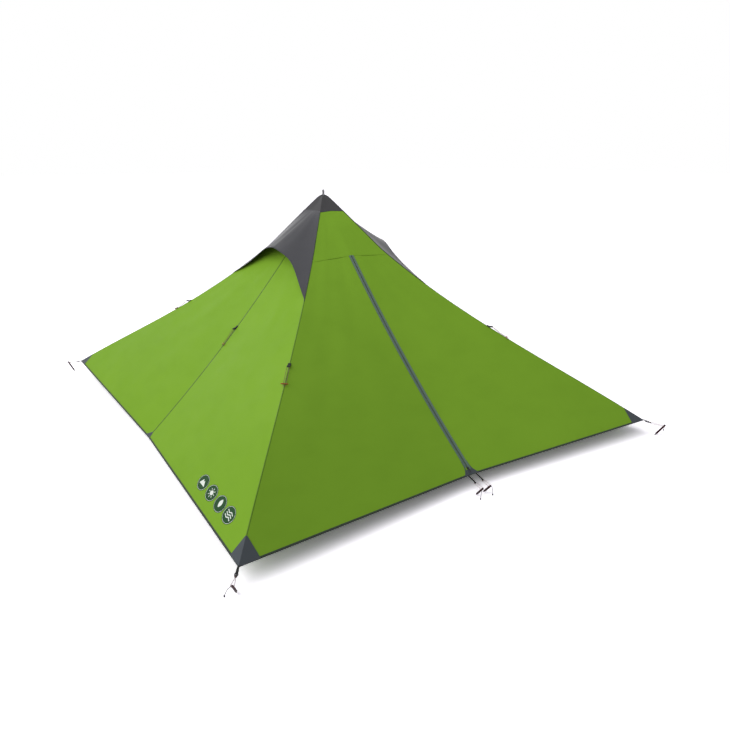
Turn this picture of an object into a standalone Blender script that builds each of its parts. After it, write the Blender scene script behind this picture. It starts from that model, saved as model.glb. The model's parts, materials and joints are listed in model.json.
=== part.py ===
"""Trekking tent: a four-sided canopy on one telescopic centre pole, pitched with its pegs.

Metres, +Z up. The origin is on the ground under the apex. The front, with the zip, faces -Y.
The pole foot and the peg tips stand on the ground plane.
"""
import math

import bmesh
import bpy
from mathutils import Matrix, Vector

# Canopy
HEM_WIDTH = 3.05               # front hem, corner to corner
HEM_DEPTH = 3.63               # side hem, corner to corner
APEX_HEIGHT = 1.612        # where the ridge lines meet, above the ground
CORNER_LIFT = 0.105        # hem corners above the ground
RIDGE_SAG = 0.52           # how fast a ridge falls below its straight line near the apex
RIDGE_FLARE = 0.411        # how far it recovers towards the corner
FRONT_HEM_HEIGHT = 0.078   # middle of the front and back hems above the ground
SIDE_HEM_HEIGHT = 0.0255   # middle of the side hems above the ground
FRONT_HEM_BOW = 0.108      # inward bow of the front and back hems at their middle
SIDE_HEM_BOW = 0.0915
FRONT_CENTRE_SAG = 0.066   # depth of the arc that the front centre line makes
SIDE_CENTRE_SAG = 0.0585
RIDGE_BULGE = 0.024        # how much the pole's tip lifts the ridges round the apex
CENTRE_BULGE = 0.010       # and the middle of each face
BULGE_RISE = 0.026         # plan distance over which that lift sets in
BULGE_REACH = 0.474        # plan distance at which it has died out

# Cloth
CLOTH = 0.0015             # upright thickness of a panel
TRIM = 0.0010              # upright thickness of tapes and patches
SEAM_GAP = 0.0003          # between panels that meet at a seam
LAYER_GAP = 0.0009         # between a panel and the cloth laid over it

# Distances from the pole axis to the seams, in plan, along a ridge
PANEL_TOP_REACH = 0.071    # top edge of the panels, under the cap
CAP_REACH = 0.155          # lower edge of the cap
VENT_REACH = 0.45          # lower edge of the mesh vents
YOKE_REACH = 0.52          # seam across the front, and top of the zip
HOOD_TIP_REACH = 0.775     # tips of the vent hoods, on the ridges
HOOD_MID_REACH = 0.508     # middle of a hood's rim, before it is held out
FRONT_GUY_REACH = 1.25     # guy points on the front ridges
BACK_GUY_REACH = 1.19      # guy points on the back ridges
SIDE_GUY_REACH = 0.736     # guy points on the side centre seams, along the seam's own plan line

# Vent hoods
LEFT_HOOD_RISE = 0.124     # how far the middle of the rim is held out from the face
RIGHT_HOOD_RISE = 0.171
HOOD_PITCH = 20.6          # degrees above level of the way it is held out
RISE_BEND = 0.33           # share of half the rim where the rise starts to fall off
RIM_BEND = 0.65            # share of half the rim where the rim turns down to its tip
BEND_SOFTNESS = 0.2        # share of half the rim over which both turns are rounded
HOOD_LIFT = 0.0018         # between a hood's edge and the panel under it
BATTEN_RADIUS = 0.002
BATTEN_SPAN = 0.86         # share of the rim that the batten stiffens
BATTEN_AT = 0.97           # share of the way from the cap to the rim where it lies

# Doors and zip
FOLD_TOP = 0.022           # half distance between the door folds at the zip's top
FOLD_HEM = 0.75            # half distance between the door folds at the hem
HINGE_LIFT = 0.003         # the fold axis above the cloth at its ends
SLOT = 0.008               # half distance between the doors' cloth edges
TAPE_HALF = 0.0195         # half width of the closed zip
TAPE_EDGE = 0.0013         # half distance between the two tapes
SLIDER_WIDTH = 0.012
SLIDER_LENGTH = 0.014
SLIDER_PLATE = 0.0011
SLIDER_PLAY = 0.0007       # between the slider's plates and the tapes
SLIDER_PARK = 0.045        # parked slider's middle, up the zip from the hem
PULLER_LENGTH = 0.030
PULLER_WIDTH = 0.0055
PULLER_THICKNESS = 0.0015
EYE_RADIUS = 0.0009        # bar that the puller hangs on
EAR_WALL = 0.0012

# Reinforcements
PATCH_RIDGE = 0.135        # corner patch, up the ridge in plan
PATCH_HEM = 0.115          # corner patch, along each hem
PATCH_TIP = 0.006          # blunt top of a patch, half width
DOOR_PATCH_HEIGHT = 0.075
DOOR_PATCH_HALF = 0.060

# Webbing, cords and pegs
WEB_WIDTH = 0.012
WEB_THICKNESS = 0.0012
WEB_SEWN = 0.035           # strap sewn up the corner
STRAP_SINK = 0.0004        # how far a sewn strap sinks into its patch
STRAP_BEND = 0.002         # a strap's bend, out from the hem
STRAP_RETURN = 0.010       # where a corner strap's end lies, out from the bend
CORNER_STRAP = 0.032       # corner strap, out to its buckle
BUCKLE_THICKNESS = 0.003
BUCKLE_BAR = 0.004
BUCKLE_WINDOW = 0.0045
BUCKLE_TIP_HALF = 0.0045
BUCKLE_EYE_AT = 0.0145     # eye, out from the bar's middle
BUCKLE_EYE = 0.0024
BUCKLE_RIM = 0.003
DOOR_STRAP_X = 0.030       # door straps, either side of the zip
DOOR_STRAP = 0.076
CORD_STEP = 0.004          # least distance between the points of a cord's route
CORD_STEPS = 4             # most points between two that shape the route
PEG_CORD_RADIUS = 0.00125
CORD_GAP = 0.0003
PEG_LENGTH = 0.105
PEG_FIN = 0.007            # fin of a Y-section peg, from its axis
PEG_WALL = 0.0018
PEG_NOTCH = 0.003          # depth of the notch that holds the cord
PEG_POINT = 0.022          # length of the point
PEG_POINT_SHARE = 0.12     # width of the tip, as a share of the peg's
PULL_HOLE_AT = 0.0045      # pull cord's hole, from the peg's axis
PULL_HOLE = 0.0011
CORNER_PEG_TILT = 55.0     # degrees from the ground
CORNER_PEG_OUT = 0.083     # tip, out from the corner
FRONT_LEFT_PEG_OUT = 0.043 # the cord at this corner is drawn in shorter
DOOR_PEG_TILT = 48.0
DOOR_PEG_OUT = 0.088
DOOR_PEG_TURN = 10.0       # degrees that the pull on the doors' pegs turns to the left
PEG_NECK = 0.014           # peg cord, down from the head
PULL_NECK = 0.005
APEX_LOOP_HEIGHT = 0.038
APEX_LOOP_HALF = 0.0045
APEX_FOOT = 0.010          # spread of each foot of the loop

# Guy points
GUY_LOOP = 0.026
GUY_LOOP_PITCH = 28.0      # degrees that a loop stands off the cloth
GUY_CORD_RADIUS = 0.00125
GUY_CORD_LIFT = 0.0051     # cord's middle above a ridge
SEAM_CORD_LIFT = 0.0064    # cord's middle above a side's centre seam, which is a shallow valley
GUY_LINE = 0.150           # loop to runner
RUNNER_LENGTH = 0.045
RUNNER_HEIGHT = 0.009
RUNNER_THICKNESS = 0.0035
RUNNER_ROUND = 0.002
RUNNER_PITCH = 0.0156      # between its holes
RUNNER_PLAY = 0.0004
RUNNER_TRAVEL = 0.040      # how far a runner slides up towards its loop
GUY_BIGHT = 0.018          # cord past the runner

# Pole
UPPER_RADIUS = 0.0095
LOWER_RADIUS = 0.0080
TUBE_WALL = 0.0010
POLE_PLAY = 0.0005
CLAMP_HEIGHT = 0.86        # middle of the clamp
POLE_OVERLAP = 0.110       # lower tube inside the upper tube
CLAMP_WALL = 0.0030
CLAMP_LENGTH = 0.034
LEVER_HEIGHT = 0.022
LEVER_THICKNESS = 0.0026
LEVER_TURN = 150.0         # degrees that the lever reaches round the clamp
PIVOT_RADIUS = 0.0015
LUG_RADIUS = 0.0042
LEVER_PLAY = 0.0005
LEVER_START = 28.0         # degrees from the pivot to where the lever meets the collar's curve
FOOT_RADIUS = 0.020
FOOT_HEIGHT = 0.036
FOOT_SOLE = 0.010
FOOT_WALL = 0.0035
TIP_RADIUS = 0.008
TIP_COLLAR = 0.004
TIP_SHANK = 0.025
TIP_GAP = 0.0006
APEX_ROUNDING = 0.0142     # plan distance over which the cap's top is rounded
APEX_DROP = 0.010          # how far the rounding lowers the apex

HALF_WIDTH = HEM_WIDTH / 2
HALF_DEPTH = HEM_DEPTH / 2
CORNER_REACH = math.hypot(HALF_WIDTH, HALF_DEPTH)
UP = Vector((0, 0, 1))


def level(reach):
    """Share of the way from the pole axis to a corner, for a plan distance along the ridge."""
    return reach / CORNER_REACH


def blend(start, end, share):
    return start + (end - start) * share


def bulge(s, height):
    """What the pole's tip adds to the canopy's height round the apex: nothing at the apex itself."""
    share = min(1.0, s / level(BULGE_REACH))
    return height * (1 - math.exp(-s / level(BULGE_RISE))) * (1 - share ** 4) ** 2


def ridge_height(s):
    rise = APEX_HEIGHT - CORNER_LIFT
    straight = CORNER_LIFT + rise * (1 - s) * (1 - RIDGE_SAG * s + RIDGE_FLARE * s * s)
    return straight + bulge(s, RIDGE_BULGE)


def ridge_point(side_x, side_y, s):
    return Vector((side_x * HALF_WIDTH * s, side_y * HALF_DEPTH * s, ridge_height(s)))


class Face:
    """One face of the canopy: level lines run from its centre line to the ridge on either side."""

    def __init__(self, out, across, half_out, half_across, bow, hem_height, sag):
        self.out = Vector(out)
        self.across = Vector(across)
        self.half_across = half_across
        self.bow = bow
        self.reach = half_out - bow
        drop = APEX_HEIGHT - hem_height
        chord = math.hypot(self.reach, drop)
        self.radius = chord ** 2 / (8 * sag) + sag / 2
        self.arc_out = self.reach / 2 + drop / chord * (self.radius - sag)
        self.arc_height = (APEX_HEIGHT + hem_height) / 2 + self.reach / chord * (self.radius - sag)
        self.tilt = math.atan2(drop, self.reach)

    def centre_height(self, s):
        aside = s * self.reach - self.arc_out
        return self.arc_height - math.sqrt(self.radius ** 2 - aside ** 2) + bulge(s, CENTRE_BULGE)

    def point(self, s, v, lift=0.0):
        """Outer side of the cloth: s from the apex to the hem, v from ridge to ridge, -1 to 1."""
        side = abs(v)
        out = s * (self.reach + self.bow * side)
        height = blend(self.centre_height(s), ridge_height(s), side)
        return self.out * out + self.across * (v * s * self.half_across) + UP * (height + lift)

    def edge(self, s):
        """Where a panel stops, half a seam gap short of the ridge."""
        return 1 - 0.5 * SEAM_GAP * CORNER_REACH / (s * self.half_across * self.reach)

    def at(self, s, aside):
        """The value of v at a distance aside from the centre line."""
        return aside / (s * self.half_across)


FRONT = Face((0, -1, 0), (1, 0, 0), HALF_DEPTH, HALF_WIDTH, FRONT_HEM_BOW, FRONT_HEM_HEIGHT,
             FRONT_CENTRE_SAG)
BACK = Face((0, 1, 0), (1, 0, 0), HALF_DEPTH, HALF_WIDTH, FRONT_HEM_BOW, FRONT_HEM_HEIGHT,
            FRONT_CENTRE_SAG)
LEFT = Face((-1, 0, 0), (0, 1, 0), HALF_WIDTH, HALF_DEPTH, SIDE_HEM_BOW, SIDE_HEM_HEIGHT,
            SIDE_CENTRE_SAG)
RIGHT = Face((1, 0, 0), (0, 1, 0), HALF_WIDTH, HALF_DEPTH, SIDE_HEM_BOW, SIDE_HEM_HEIGHT,
             SIDE_CENTRE_SAG)
SIDES = {"left": LEFT, "right": RIGHT}
SIGNS = {"left": -1, "right": 1}
CORNERS = {"front_left": (-1, -1), "front_right": (1, -1), "back_left": (-1, 1), "back_right": (1, 1)}

PANEL_TOP = level(PANEL_TOP_REACH)
CAP_EDGE = level(CAP_REACH)
VENT_EDGE = level(VENT_REACH)
YOKE = level(YOKE_REACH)


def clear_scene():
    for old in list(bpy.data.objects):
        bpy.data.objects.remove(old, do_unlink=True)


def new_collection(name):
    collection = bpy.data.collections.new(name)
    bpy.context.scene.collection.children.link(collection)
    return collection


def material(name, colour, roughness, metallic=0.0):
    mat = bpy.data.materials.new(name)
    mat.use_nodes = True
    shader = mat.node_tree.nodes["Principled BSDF"]
    shader.inputs["Base Color"].default_value = (*colour, 1)
    shader.inputs["Roughness"].default_value = roughness
    shader.inputs["Metallic"].default_value = metallic
    return mat


clear_scene()
PARTS = new_collection("trekking_tent")
CUTTERS = new_collection("cutters")
GREEN = material("green_cloth", (0.24, 0.42, 0.06), 0.6)
GREY = material("grey_cloth", (0.07, 0.075, 0.085), 0.7)
MESH = material("vent_mesh", (0.02, 0.02, 0.02), 0.8)
TAPE = material("zip_tape", (0.06, 0.10, 0.09), 0.7)
WEBBING = material("webbing", (0.015, 0.015, 0.015), 0.8)
PLASTIC = material("black_plastic", (0.02, 0.02, 0.02), 0.4)
CORD = material("cord", (0.55, 0.20, 0.16), 0.7)
RED = material("red_plastic", (0.45, 0.10, 0.04), 0.45)
PEG = material("peg_metal", (0.10, 0.02, 0.02), 0.35, 1.0)
POLE = material("pole_metal", (0.62, 0.63, 0.65), 0.3, 1.0)
RUBBER = material("rubber", (0.02, 0.02, 0.02), 0.9)


def add_object(name, data, mat, matrix=None, collection=None):
    obj = bpy.data.objects.new(name, data)
    (collection or PARTS).objects.link(obj)
    data.materials.append(mat)
    if matrix is not None:
        obj.matrix_world = matrix
    return obj


def mesh_object(name, bm, mat, matrix=None, collection=None):
    bmesh.ops.recalc_face_normals(bm, faces=bm.faces[:])
    data = bpy.data.meshes.new(name)
    bm.to_mesh(data)
    bm.free()
    return add_object(name, data, mat, matrix, collection)


def frame_matrix(origin, x_axis, y_axis, z_axis):
    rotation = Matrix((x_axis, y_axis, z_axis)).transposed().to_4x4()
    return Matrix.Translation(origin) @ rotation


def extrude_down(bm, thickness):
    """Closes a surface into a sheet that is as thick, straight down, as it is said to be."""
    bmesh.ops.triangulate(bm, faces=bm.faces[:])
    copy = bmesh.ops.extrude_face_region(bm, geom=bm.faces[:])
    moved = [part for part in copy["geom"] if isinstance(part, bmesh.types.BMVert)]
    bmesh.ops.translate(bm, verts=moved, vec=(0, 0, -thickness))


def sheet(name, surface, rows, cols, mat, thickness=CLOTH):
    """A piece of cloth: surface(a, b) gives its outer side for a and b from 0 to 1."""
    bm = bmesh.new()
    bmesh.ops.create_grid(bm, x_segments=rows, y_segments=cols, size=0.5)
    for vert in bm.verts:
        vert.co = surface(vert.co.x + 0.5, vert.co.y + 0.5)
    extrude_down(bm, thickness)
    return mesh_object(name, bm, mat)


def prism(name, outline, depth, mat, matrix=None, collection=None):
    """A flat outline in local X and Z, as deep as depth along local Y, and centred there."""
    bm = bmesh.new()
    verts = [bm.verts.new((x, -depth / 2, z)) for x, z in outline]
    face = bm.faces.new(verts)
    copy = bmesh.ops.extrude_face_region(bm, geom=[face])
    moved = [part for part in copy["geom"] if isinstance(part, bmesh.types.BMVert)]
    bmesh.ops.translate(bm, verts=moved, vec=(0, depth, 0))
    return mesh_object(name, bm, mat, matrix, collection)


def plate(name, outlines, thickness, mat, matrix=None):
    """A flat plate in local X and Y: the first outline is its edge, the others are holes."""
    data = bpy.data.curves.new(name, "CURVE")
    data.dimensions = "2D"
    data.fill_mode = "BOTH"
    data.extrude = thickness / 2
    for outline in outlines:
        spline = data.splines.new("POLY")
        spline.points.add(len(outline) - 1)
        for point, (x, y) in zip(spline.points, outline):
            point.co = (x, y, 0, 1)
        spline.use_cyclic_u = True
    return add_object(name, data, mat, matrix)


def tube(name, route, radius, mat, closed=False, sides=2):
    data = bpy.data.curves.new(name, "CURVE")
    data.dimensions = "3D"
    data.bevel_depth = radius
    data.bevel_resolution = sides
    data.use_fill_caps = not closed
    spline = data.splines.new("POLY")
    spline.points.add(len(route) - 1)
    for point, place in zip(spline.points, route):
        point.co = (*place, 1)
    spline.use_cyclic_u = closed
    return add_object(name, data, mat)


def turned(name, profile, steps, mat, matrix=None):
    """A profile of (radius, height) points, turned about local Z and closed on itself."""
    bm = bmesh.new()
    verts = [bm.verts.new((radius, 0, height)) for radius, height in profile]
    for first, second in zip(verts, verts[1:] + verts[:1]):
        if first.co.x > 0 or second.co.x > 0:
            bm.edges.new((first, second))
    data = bpy.data.meshes.new(name)
    bm.to_mesh(data)
    bm.free()
    obj = add_object(name, data, mat, matrix)
    screw = obj.modifiers.new("turn", "SCREW")
    screw.steps = steps
    screw.render_steps = steps
    screw.use_merge_vertices = True
    screw.merge_threshold = 0.00001
    return obj


def rounded(corners, radius, steps=4):
    """The corners of a convex outline, each replaced by a short arc."""
    outline = []
    for index, corner in enumerate(corners):
        here = Vector(corner)
        before = (Vector(corners[index - 1]) - here).normalized()
        after = (Vector(corners[(index + 1) % len(corners)]) - here).normalized()
        half = before.angle(after) / 2
        middle = here + (before + after).normalized() * (radius / math.sin(half))
        start = here + before * (radius / math.tan(half)) - middle
        end = here + after * (radius / math.tan(half)) - middle
        turn = start.angle_signed(end)
        for step in range(steps + 1):
            angle = -turn * step / steps
            cos, sin = math.cos(angle), math.sin(angle)
            spoke = Vector((start.x * cos - start.y * sin, start.x * sin + start.y * cos))
            outline.append(tuple(middle + spoke))
    return outline


def circle(x, y, radius, steps=10):
    return [(x + radius * math.cos(math.tau * step / steps), y + radius * math.sin(math.tau * step / steps))
            for step in range(steps)]


def smooth(points, spacing, closed=False):
    """Points about a spacing apart on a smooth curve through the given ones."""
    points = [Vector(point) for point in points]
    count = len(points)
    route = []
    for index in range(count if closed else count - 1):
        p1 = points[index]
        p2 = points[(index + 1) % count]
        p0 = points[index - 1] if index or closed else p1 * 2 - p2
        p3 = points[(index + 2) % count] if index + 2 < count or closed else p2 * 2 - p1
        steps = min(CORD_STEPS, max(1, round((p2 - p1).length / spacing)))
        for step in range(steps):
            t = step / steps
            place = (p1 * 2 + (p2 - p0) * t + (p0 * 2 - p1 * 5 + p2 * 4 - p3) * t * t
                     + (p1 * 3 - p0 - p2 * 3 + p3) * t ** 3) / 2
            route.append(place)
    if not closed:
        route.append(points[-1])
    return route


# Canopy panels
ROWS = 20
COLS = 4
LEAST_ROWS = 6
CAP_ROWS = 8
CAP_COLS = 6


def face_panel(name, face, top, mat, bottom=1.0):
    def surface(a, b):
        s = blend(top, bottom, a)
        return face.point(s, blend(-1, 1, b) * face.edge(s))
    rows = max(LEAST_ROWS, round(ROWS * (bottom - top)))
    sheet(name, surface, rows, 2 * COLS, mat)


def fold_aside(s):
    """Distance from the zip to a door's fold line."""
    return blend(FOLD_TOP, FOLD_HEM, (s - YOKE) / (1 - YOKE))


def yoke_level(v):
    """Level of the seam across the front, which is straight in plan."""
    return YOKE * FRONT.reach / (FRONT.reach + FRONT.bow * abs(v))


def front_pieces():
    def yoke(a, b):
        v = 2 * b - 1
        s = blend(PANEL_TOP, yoke_level(v) - SEAM_GAP / FRONT.reach, a)
        return FRONT.point(s, v * FRONT.edge(s))

    sheet("front_yoke", yoke, LEAST_ROWS, 2 * COLS, GREEN)
    for side, sign in SIGNS.items():
        fold = FRONT.at(YOKE, FOLD_TOP)

        def fixed(a, b, sign=sign, fold=fold):
            s = blend(yoke_level(blend(fold, 1, b)), 1, a)
            inner = FRONT.at(s, fold_aside(s) + SEAM_GAP / 2)
            return FRONT.point(s, sign * blend(inner, FRONT.edge(s), b))

        def door(a, b, sign=sign, fold=fold):
            s = blend(yoke_level(blend(0, fold, b)), 1, a)
            aside = blend(SLOT, fold_aside(s) - SEAM_GAP / 2, b)
            return FRONT.point(s, sign * FRONT.at(s, aside))

        sheet(f"front_panel_{side}", fixed, ROWS - 4, COLS, GREEN)
        sheet(f"door_{side}", door, ROWS - 4, COLS, GREEN)


def side_and_back_pieces():
    for side, face in SIDES.items():
        face_panel(f"vent_mesh_{side}", face, PANEL_TOP, MESH, VENT_EDGE - SEAM_GAP / face.reach)
        face_panel(f"side_panel_{side}", face, VENT_EDGE, GREEN)
    face_panel("back_panel", BACK, PANEL_TOP, GREEN)


def cap_point(face, s, v):
    """Outer side of the cap, which is like the canopy's but rounded at the apex."""
    rounding = level(APEX_ROUNDING)
    share = (math.hypot(s, rounding) - s) / rounding * (1 - s / CAP_EDGE)
    return face.point(s, v, LAYER_GAP + CLOTH - APEX_DROP * share)


APEX_TOP = cap_point(FRONT, 0, 0).z


def apex_cap():
    """Four faces that meet at the ridges and in one point at the apex."""
    bm = bmesh.new()
    for face in (FRONT, BACK, LEFT, RIGHT):
        grid = bmesh.ops.create_grid(bm, x_segments=CAP_ROWS, y_segments=CAP_COLS, size=0.5)
        for vert in grid["verts"]:
            vert.co = cap_point(face, CAP_EDGE * (vert.co.x + 0.5) ** 2, 2 * vert.co.y)
    bmesh.ops.remove_doubles(bm, verts=bm.verts[:], dist=0.00001)
    extrude_down(bm, CLOTH)
    mesh_object("apex_cap", bm, GREY)


def soft_bend(share, at):
    """From 0 to 1 as the share does: nearly level up to the bend and straight after it."""
    def ramp(past):
        return past + math.hypot(past, BEND_SOFTNESS)
    return (ramp(share - at) - ramp(-at)) / (ramp(1 - at) - ramp(-at))


def hood_point(face, a, v):
    """Outer side of a vent hood: a from the cap to the rim, v from ridge to ridge."""
    top = CAP_EDGE + SEAM_GAP / face.reach
    rim = blend(level(HOOD_MID_REACH), level(HOOD_TIP_REACH), soft_bend(abs(v), RIM_BEND))
    s = blend(top, rim, a)
    middle = LEFT_HOOD_RISE if face is LEFT else RIGHT_HOOD_RISE
    rise = middle * (1 - soft_bend(abs(v), RISE_BEND)) * a
    pitch = math.radians(HOOD_PITCH)
    held = face.out * math.cos(pitch) + UP * math.sin(pitch)
    return face.point(s, v * face.edge(s), HOOD_LIFT + CLOTH) + held * rise


HOOD_COLS = 18


def vent_hoods():
    for side, face in SIDES.items():
        def surface(a, b, face=face):
            return hood_point(face, a, 2 * b - 1)
        sheet(f"vent_hood_{side}", surface, 8, HOOD_COLS, GREY)
        under = CLOTH + SEAM_GAP + BATTEN_RADIUS / math.cos(face.tilt)
        steps = [2 * step / HOOD_COLS - 1 for step in range(HOOD_COLS + 1)]
        route = [hood_point(face, BATTEN_AT, v) - UP * under for v in steps if abs(v) <= BATTEN_SPAN]
        tube(f"hood_batten_{side}", route, BATTEN_RADIUS, PLASTIC)


# Patches
def corner_patch(name, side_x, side_y):
    face_y = FRONT if side_y < 0 else BACK
    face_x = LEFT if side_x < 0 else RIGHT

    def surface(a, b):
        s = blend(1 - level(PATCH_RIDGE), 1, a)
        along = (2 * b - 1) * blend(PATCH_TIP, PATCH_HEM, a)
        face, sign = (face_y, side_x) if along > 0 else (face_x, side_y)
        v = 1 - face.at(s, abs(along))
        return face.point(s, sign * v, LAYER_GAP + TRIM)

    return sheet(f"corner_patch_{name}", surface, 4, 6, GREY, TRIM)


def zip_level(distance):
    """Level on the front centre line at a distance up from the hem, along the cloth."""
    turn = distance / FRONT.radius
    aside = FRONT.reach - FRONT.arc_out
    below = FRONT.arc_height - FRONT.centre_height(1)
    angle = math.atan2(below, aside) + turn
    return (FRONT.arc_out + FRONT.radius * math.cos(angle)) / FRONT.reach


def zip_tapes():
    left_end = zip_level(SLIDER_PARK + SLIDER_LENGTH / 2 + SLIDER_PLAY)
    ends = {"left": left_end, "right": 1.0}
    for side, sign in SIGNS.items():
        def tape(a, b, sign=sign, end=ends[side]):
            s = blend(YOKE, end, a)
            aside = blend(TAPE_EDGE, TAPE_HALF, b)
            return FRONT.point(s, sign * FRONT.at(s, aside), LAYER_GAP + TRIM)

        sheet(f"zip_tape_{side}", tape, ROWS - 4, 2, TAPE, TRIM)


def door_patch(side):
    def surface(a, b):
        s = blend(1 - DOOR_PATCH_HEIGHT / FRONT.reach, 1, a)
        inner = TAPE_HALF + SEAM_GAP
        outer = blend(inner + PATCH_TIP / 3, DOOR_PATCH_HALF, a ** 3)
        return FRONT.point(s, SIGNS[side] * FRONT.at(s, blend(inner, outer, b)), LAYER_GAP + TRIM)
    return sheet(f"door_patch_{side}", surface, 5, 2, GREY, TRIM)


def zip_frame(distance):
    """Local X across the zip, local Y up it, local Z off the cloth, at the tape's mid thickness."""
    s = zip_level(distance)
    step = 0.0005
    along = (FRONT.point(s - step, 0) - FRONT.point(s + step, 0)).normalized()
    across = Vector((1, 0, 0))
    off = across.cross(along)
    return frame_matrix(FRONT.point(s, 0, LAYER_GAP + TRIM / 2), across, along, off)


def box_mesh(bm, low, high):
    cube = bmesh.ops.create_cube(bm, size=1)
    size = Vector(high) - Vector(low)
    middle = (Vector(high) + Vector(low)) / 2
    for vert in cube["verts"]:
        vert.co = Vector(vert.co[axis] * size[axis] + middle[axis] for axis in range(3))


def box(name, low, high, mat, matrix=None, collection=None):
    bm = bmesh.new()
    box_mesh(bm, low, high)
    return mesh_object(name, bm, mat, matrix, collection)


def cylinder(name, radius, low, high, mat, matrix=None, collection=None, steps=12):
    bm = bmesh.new()
    bmesh.ops.create_cone(bm, cap_ends=True, segments=steps, radius1=radius, radius2=radius,
                          depth=high - low)
    bmesh.ops.translate(bm, verts=bm.verts[:], vec=(0, 0, (low + high) / 2))
    return mesh_object(name, bm, mat, matrix, collection)


def boolean(obj, tool, operation):
    tool.hide_render = True
    tool.display_type = "WIRE"
    cut = obj.modifiers.new(tool.name, "BOOLEAN")
    cut.operation = operation
    cut.object = tool
    cut.solver = "EXACT"


def band(route, thickness):
    """Outline of a strip of even thickness along a route of (x, z) points."""
    route = [Vector(point) for point in route]
    left, right = [], []
    for index, here in enumerate(route):
        before = (here - route[index - 1]).normalized() if index else None
        after = (route[index + 1] - here).normalized() if index + 1 < len(route) else None
        along = ((before or after) + (after or before)).normalized()
        aside = Vector((-along.y, along.x))
        stretch = aside.dot(Vector((-(after or before).y, (after or before).x)))
        left.append(here + aside * (thickness / 2 / stretch))
        right.append(here - aside * (thickness / 2 / stretch))
    return [tuple(point) for point in left + right[::-1]]


def arc(centre, radius, start, end, steps):
    """Points on an arc in (x, z), from one angle to another, in degrees."""
    angles = [math.radians(blend(start, end, step / steps)) for step in range(steps + 1)]
    return [(centre[0] + radius * math.cos(angle), centre[1] + radius * math.sin(angle)) for angle in angles]


EYE_HOLE = EYE_RADIUS + SLIDER_PLAY / 2
EYE_OUTER = EYE_HOLE + 0.0012
SLIDER_INNER = TRIM / 2 + SLIDER_PLAY
SLIDER_OUTER = SLIDER_INNER + SLIDER_PLATE
EYE_HEIGHT = SLIDER_OUTER + EYE_OUTER + SLIDER_PLAY / 2


def zip_slider():
    place = zip_frame(SLIDER_PARK)
    half_width = SLIDER_WIDTH / 2
    half_length = SLIDER_LENGTH / 2
    overlap = SLIDER_PLATE / 2
    slider = box("zip_slider", (-half_width, -half_length, SLIDER_INNER),
                 (half_width, half_length, SLIDER_OUTER), PLASTIC, place)
    base = box("slider_base", (-half_width, -half_length, -SLIDER_OUTER),
               (half_width, half_length, -SLIDER_INNER), PLASTIC, place, CUTTERS)
    post_half = TAPE_EDGE - SEAM_GAP
    reach = SLIDER_INNER + overlap
    post = box("slider_post", (-post_half, half_length * 0.3, -reach),
               (post_half, half_length * 0.9, reach), PLASTIC, place, CUTTERS)
    inner = PULLER_WIDTH / 2 + SLIDER_PLAY
    outer = inner + EAR_WALL
    tools = [base, post]
    for sign in (-1, 1):
        low = (min(inner * sign, outer * sign), -EYE_OUTER, SLIDER_INNER + overlap)
        high = (max(inner * sign, outer * sign), EYE_OUTER, EYE_HEIGHT + EYE_OUTER)
        tools.append(box(f"slider_ear_{sign}", low, high, PLASTIC, place, CUTTERS))
    turn = Matrix.Translation((0, 0, EYE_HEIGHT)) @ Matrix.Rotation(math.radians(90), 4, "Y")
    reach = (inner + outer) / 2
    tools.append(cylinder("slider_bar", EYE_RADIUS, -reach, reach, PLASTIC, place @ turn, CUTTERS, 8))
    for tool in tools:
        boolean(slider, tool, "UNION")


def zip_puller():
    """A flat tab with a round eye, lying down the zip."""
    place = zip_frame(SLIDER_PARK) @ Matrix.Translation((0, 0, EYE_HEIGHT))
    across = Matrix.Rotation(math.radians(-90), 4, "Z")
    half = PULLER_THICKNESS / 2
    start = math.degrees(math.asin(half / EYE_OUTER))
    outline = arc((0, 0), EYE_OUTER, start, 360 - start, 10)
    outline += [(PULLER_LENGTH, -half), (PULLER_LENGTH, half)]
    puller = prism("zip_puller", outline, PULLER_WIDTH, PLASTIC, place @ across)
    turn = place @ Matrix.Rotation(math.radians(90), 4, "Y")
    boolean(puller, cylinder("puller_hole", EYE_HOLE, -PULLER_WIDTH, PULLER_WIDTH, PLASTIC, turn, CUTTERS, 10),
            "DIFFERENCE")


# Pegs and what ties the hem to them. Each is worked out in an upright plane: X out, Z up.
STRAP_MIDDLE = LAYER_GAP + TRIM - STRAP_SINK + WEB_THICKNESS / 2
BUCKLE_TURN = math.hypot(BUCKLE_BAR, BUCKLE_THICKNESS) / 2 + SEAM_GAP + WEB_THICKNESS / 2
PEG_SIDE = PEG_FIN * math.sin(math.radians(60)) + PEG_WALL / 2
CORD_BESIDE = PEG_SIDE + CORD_GAP + PEG_CORD_RADIUS
CORD_BEHIND = PEG_FIN - PEG_NOTCH + CORD_GAP + PEG_CORD_RADIUS


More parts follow.
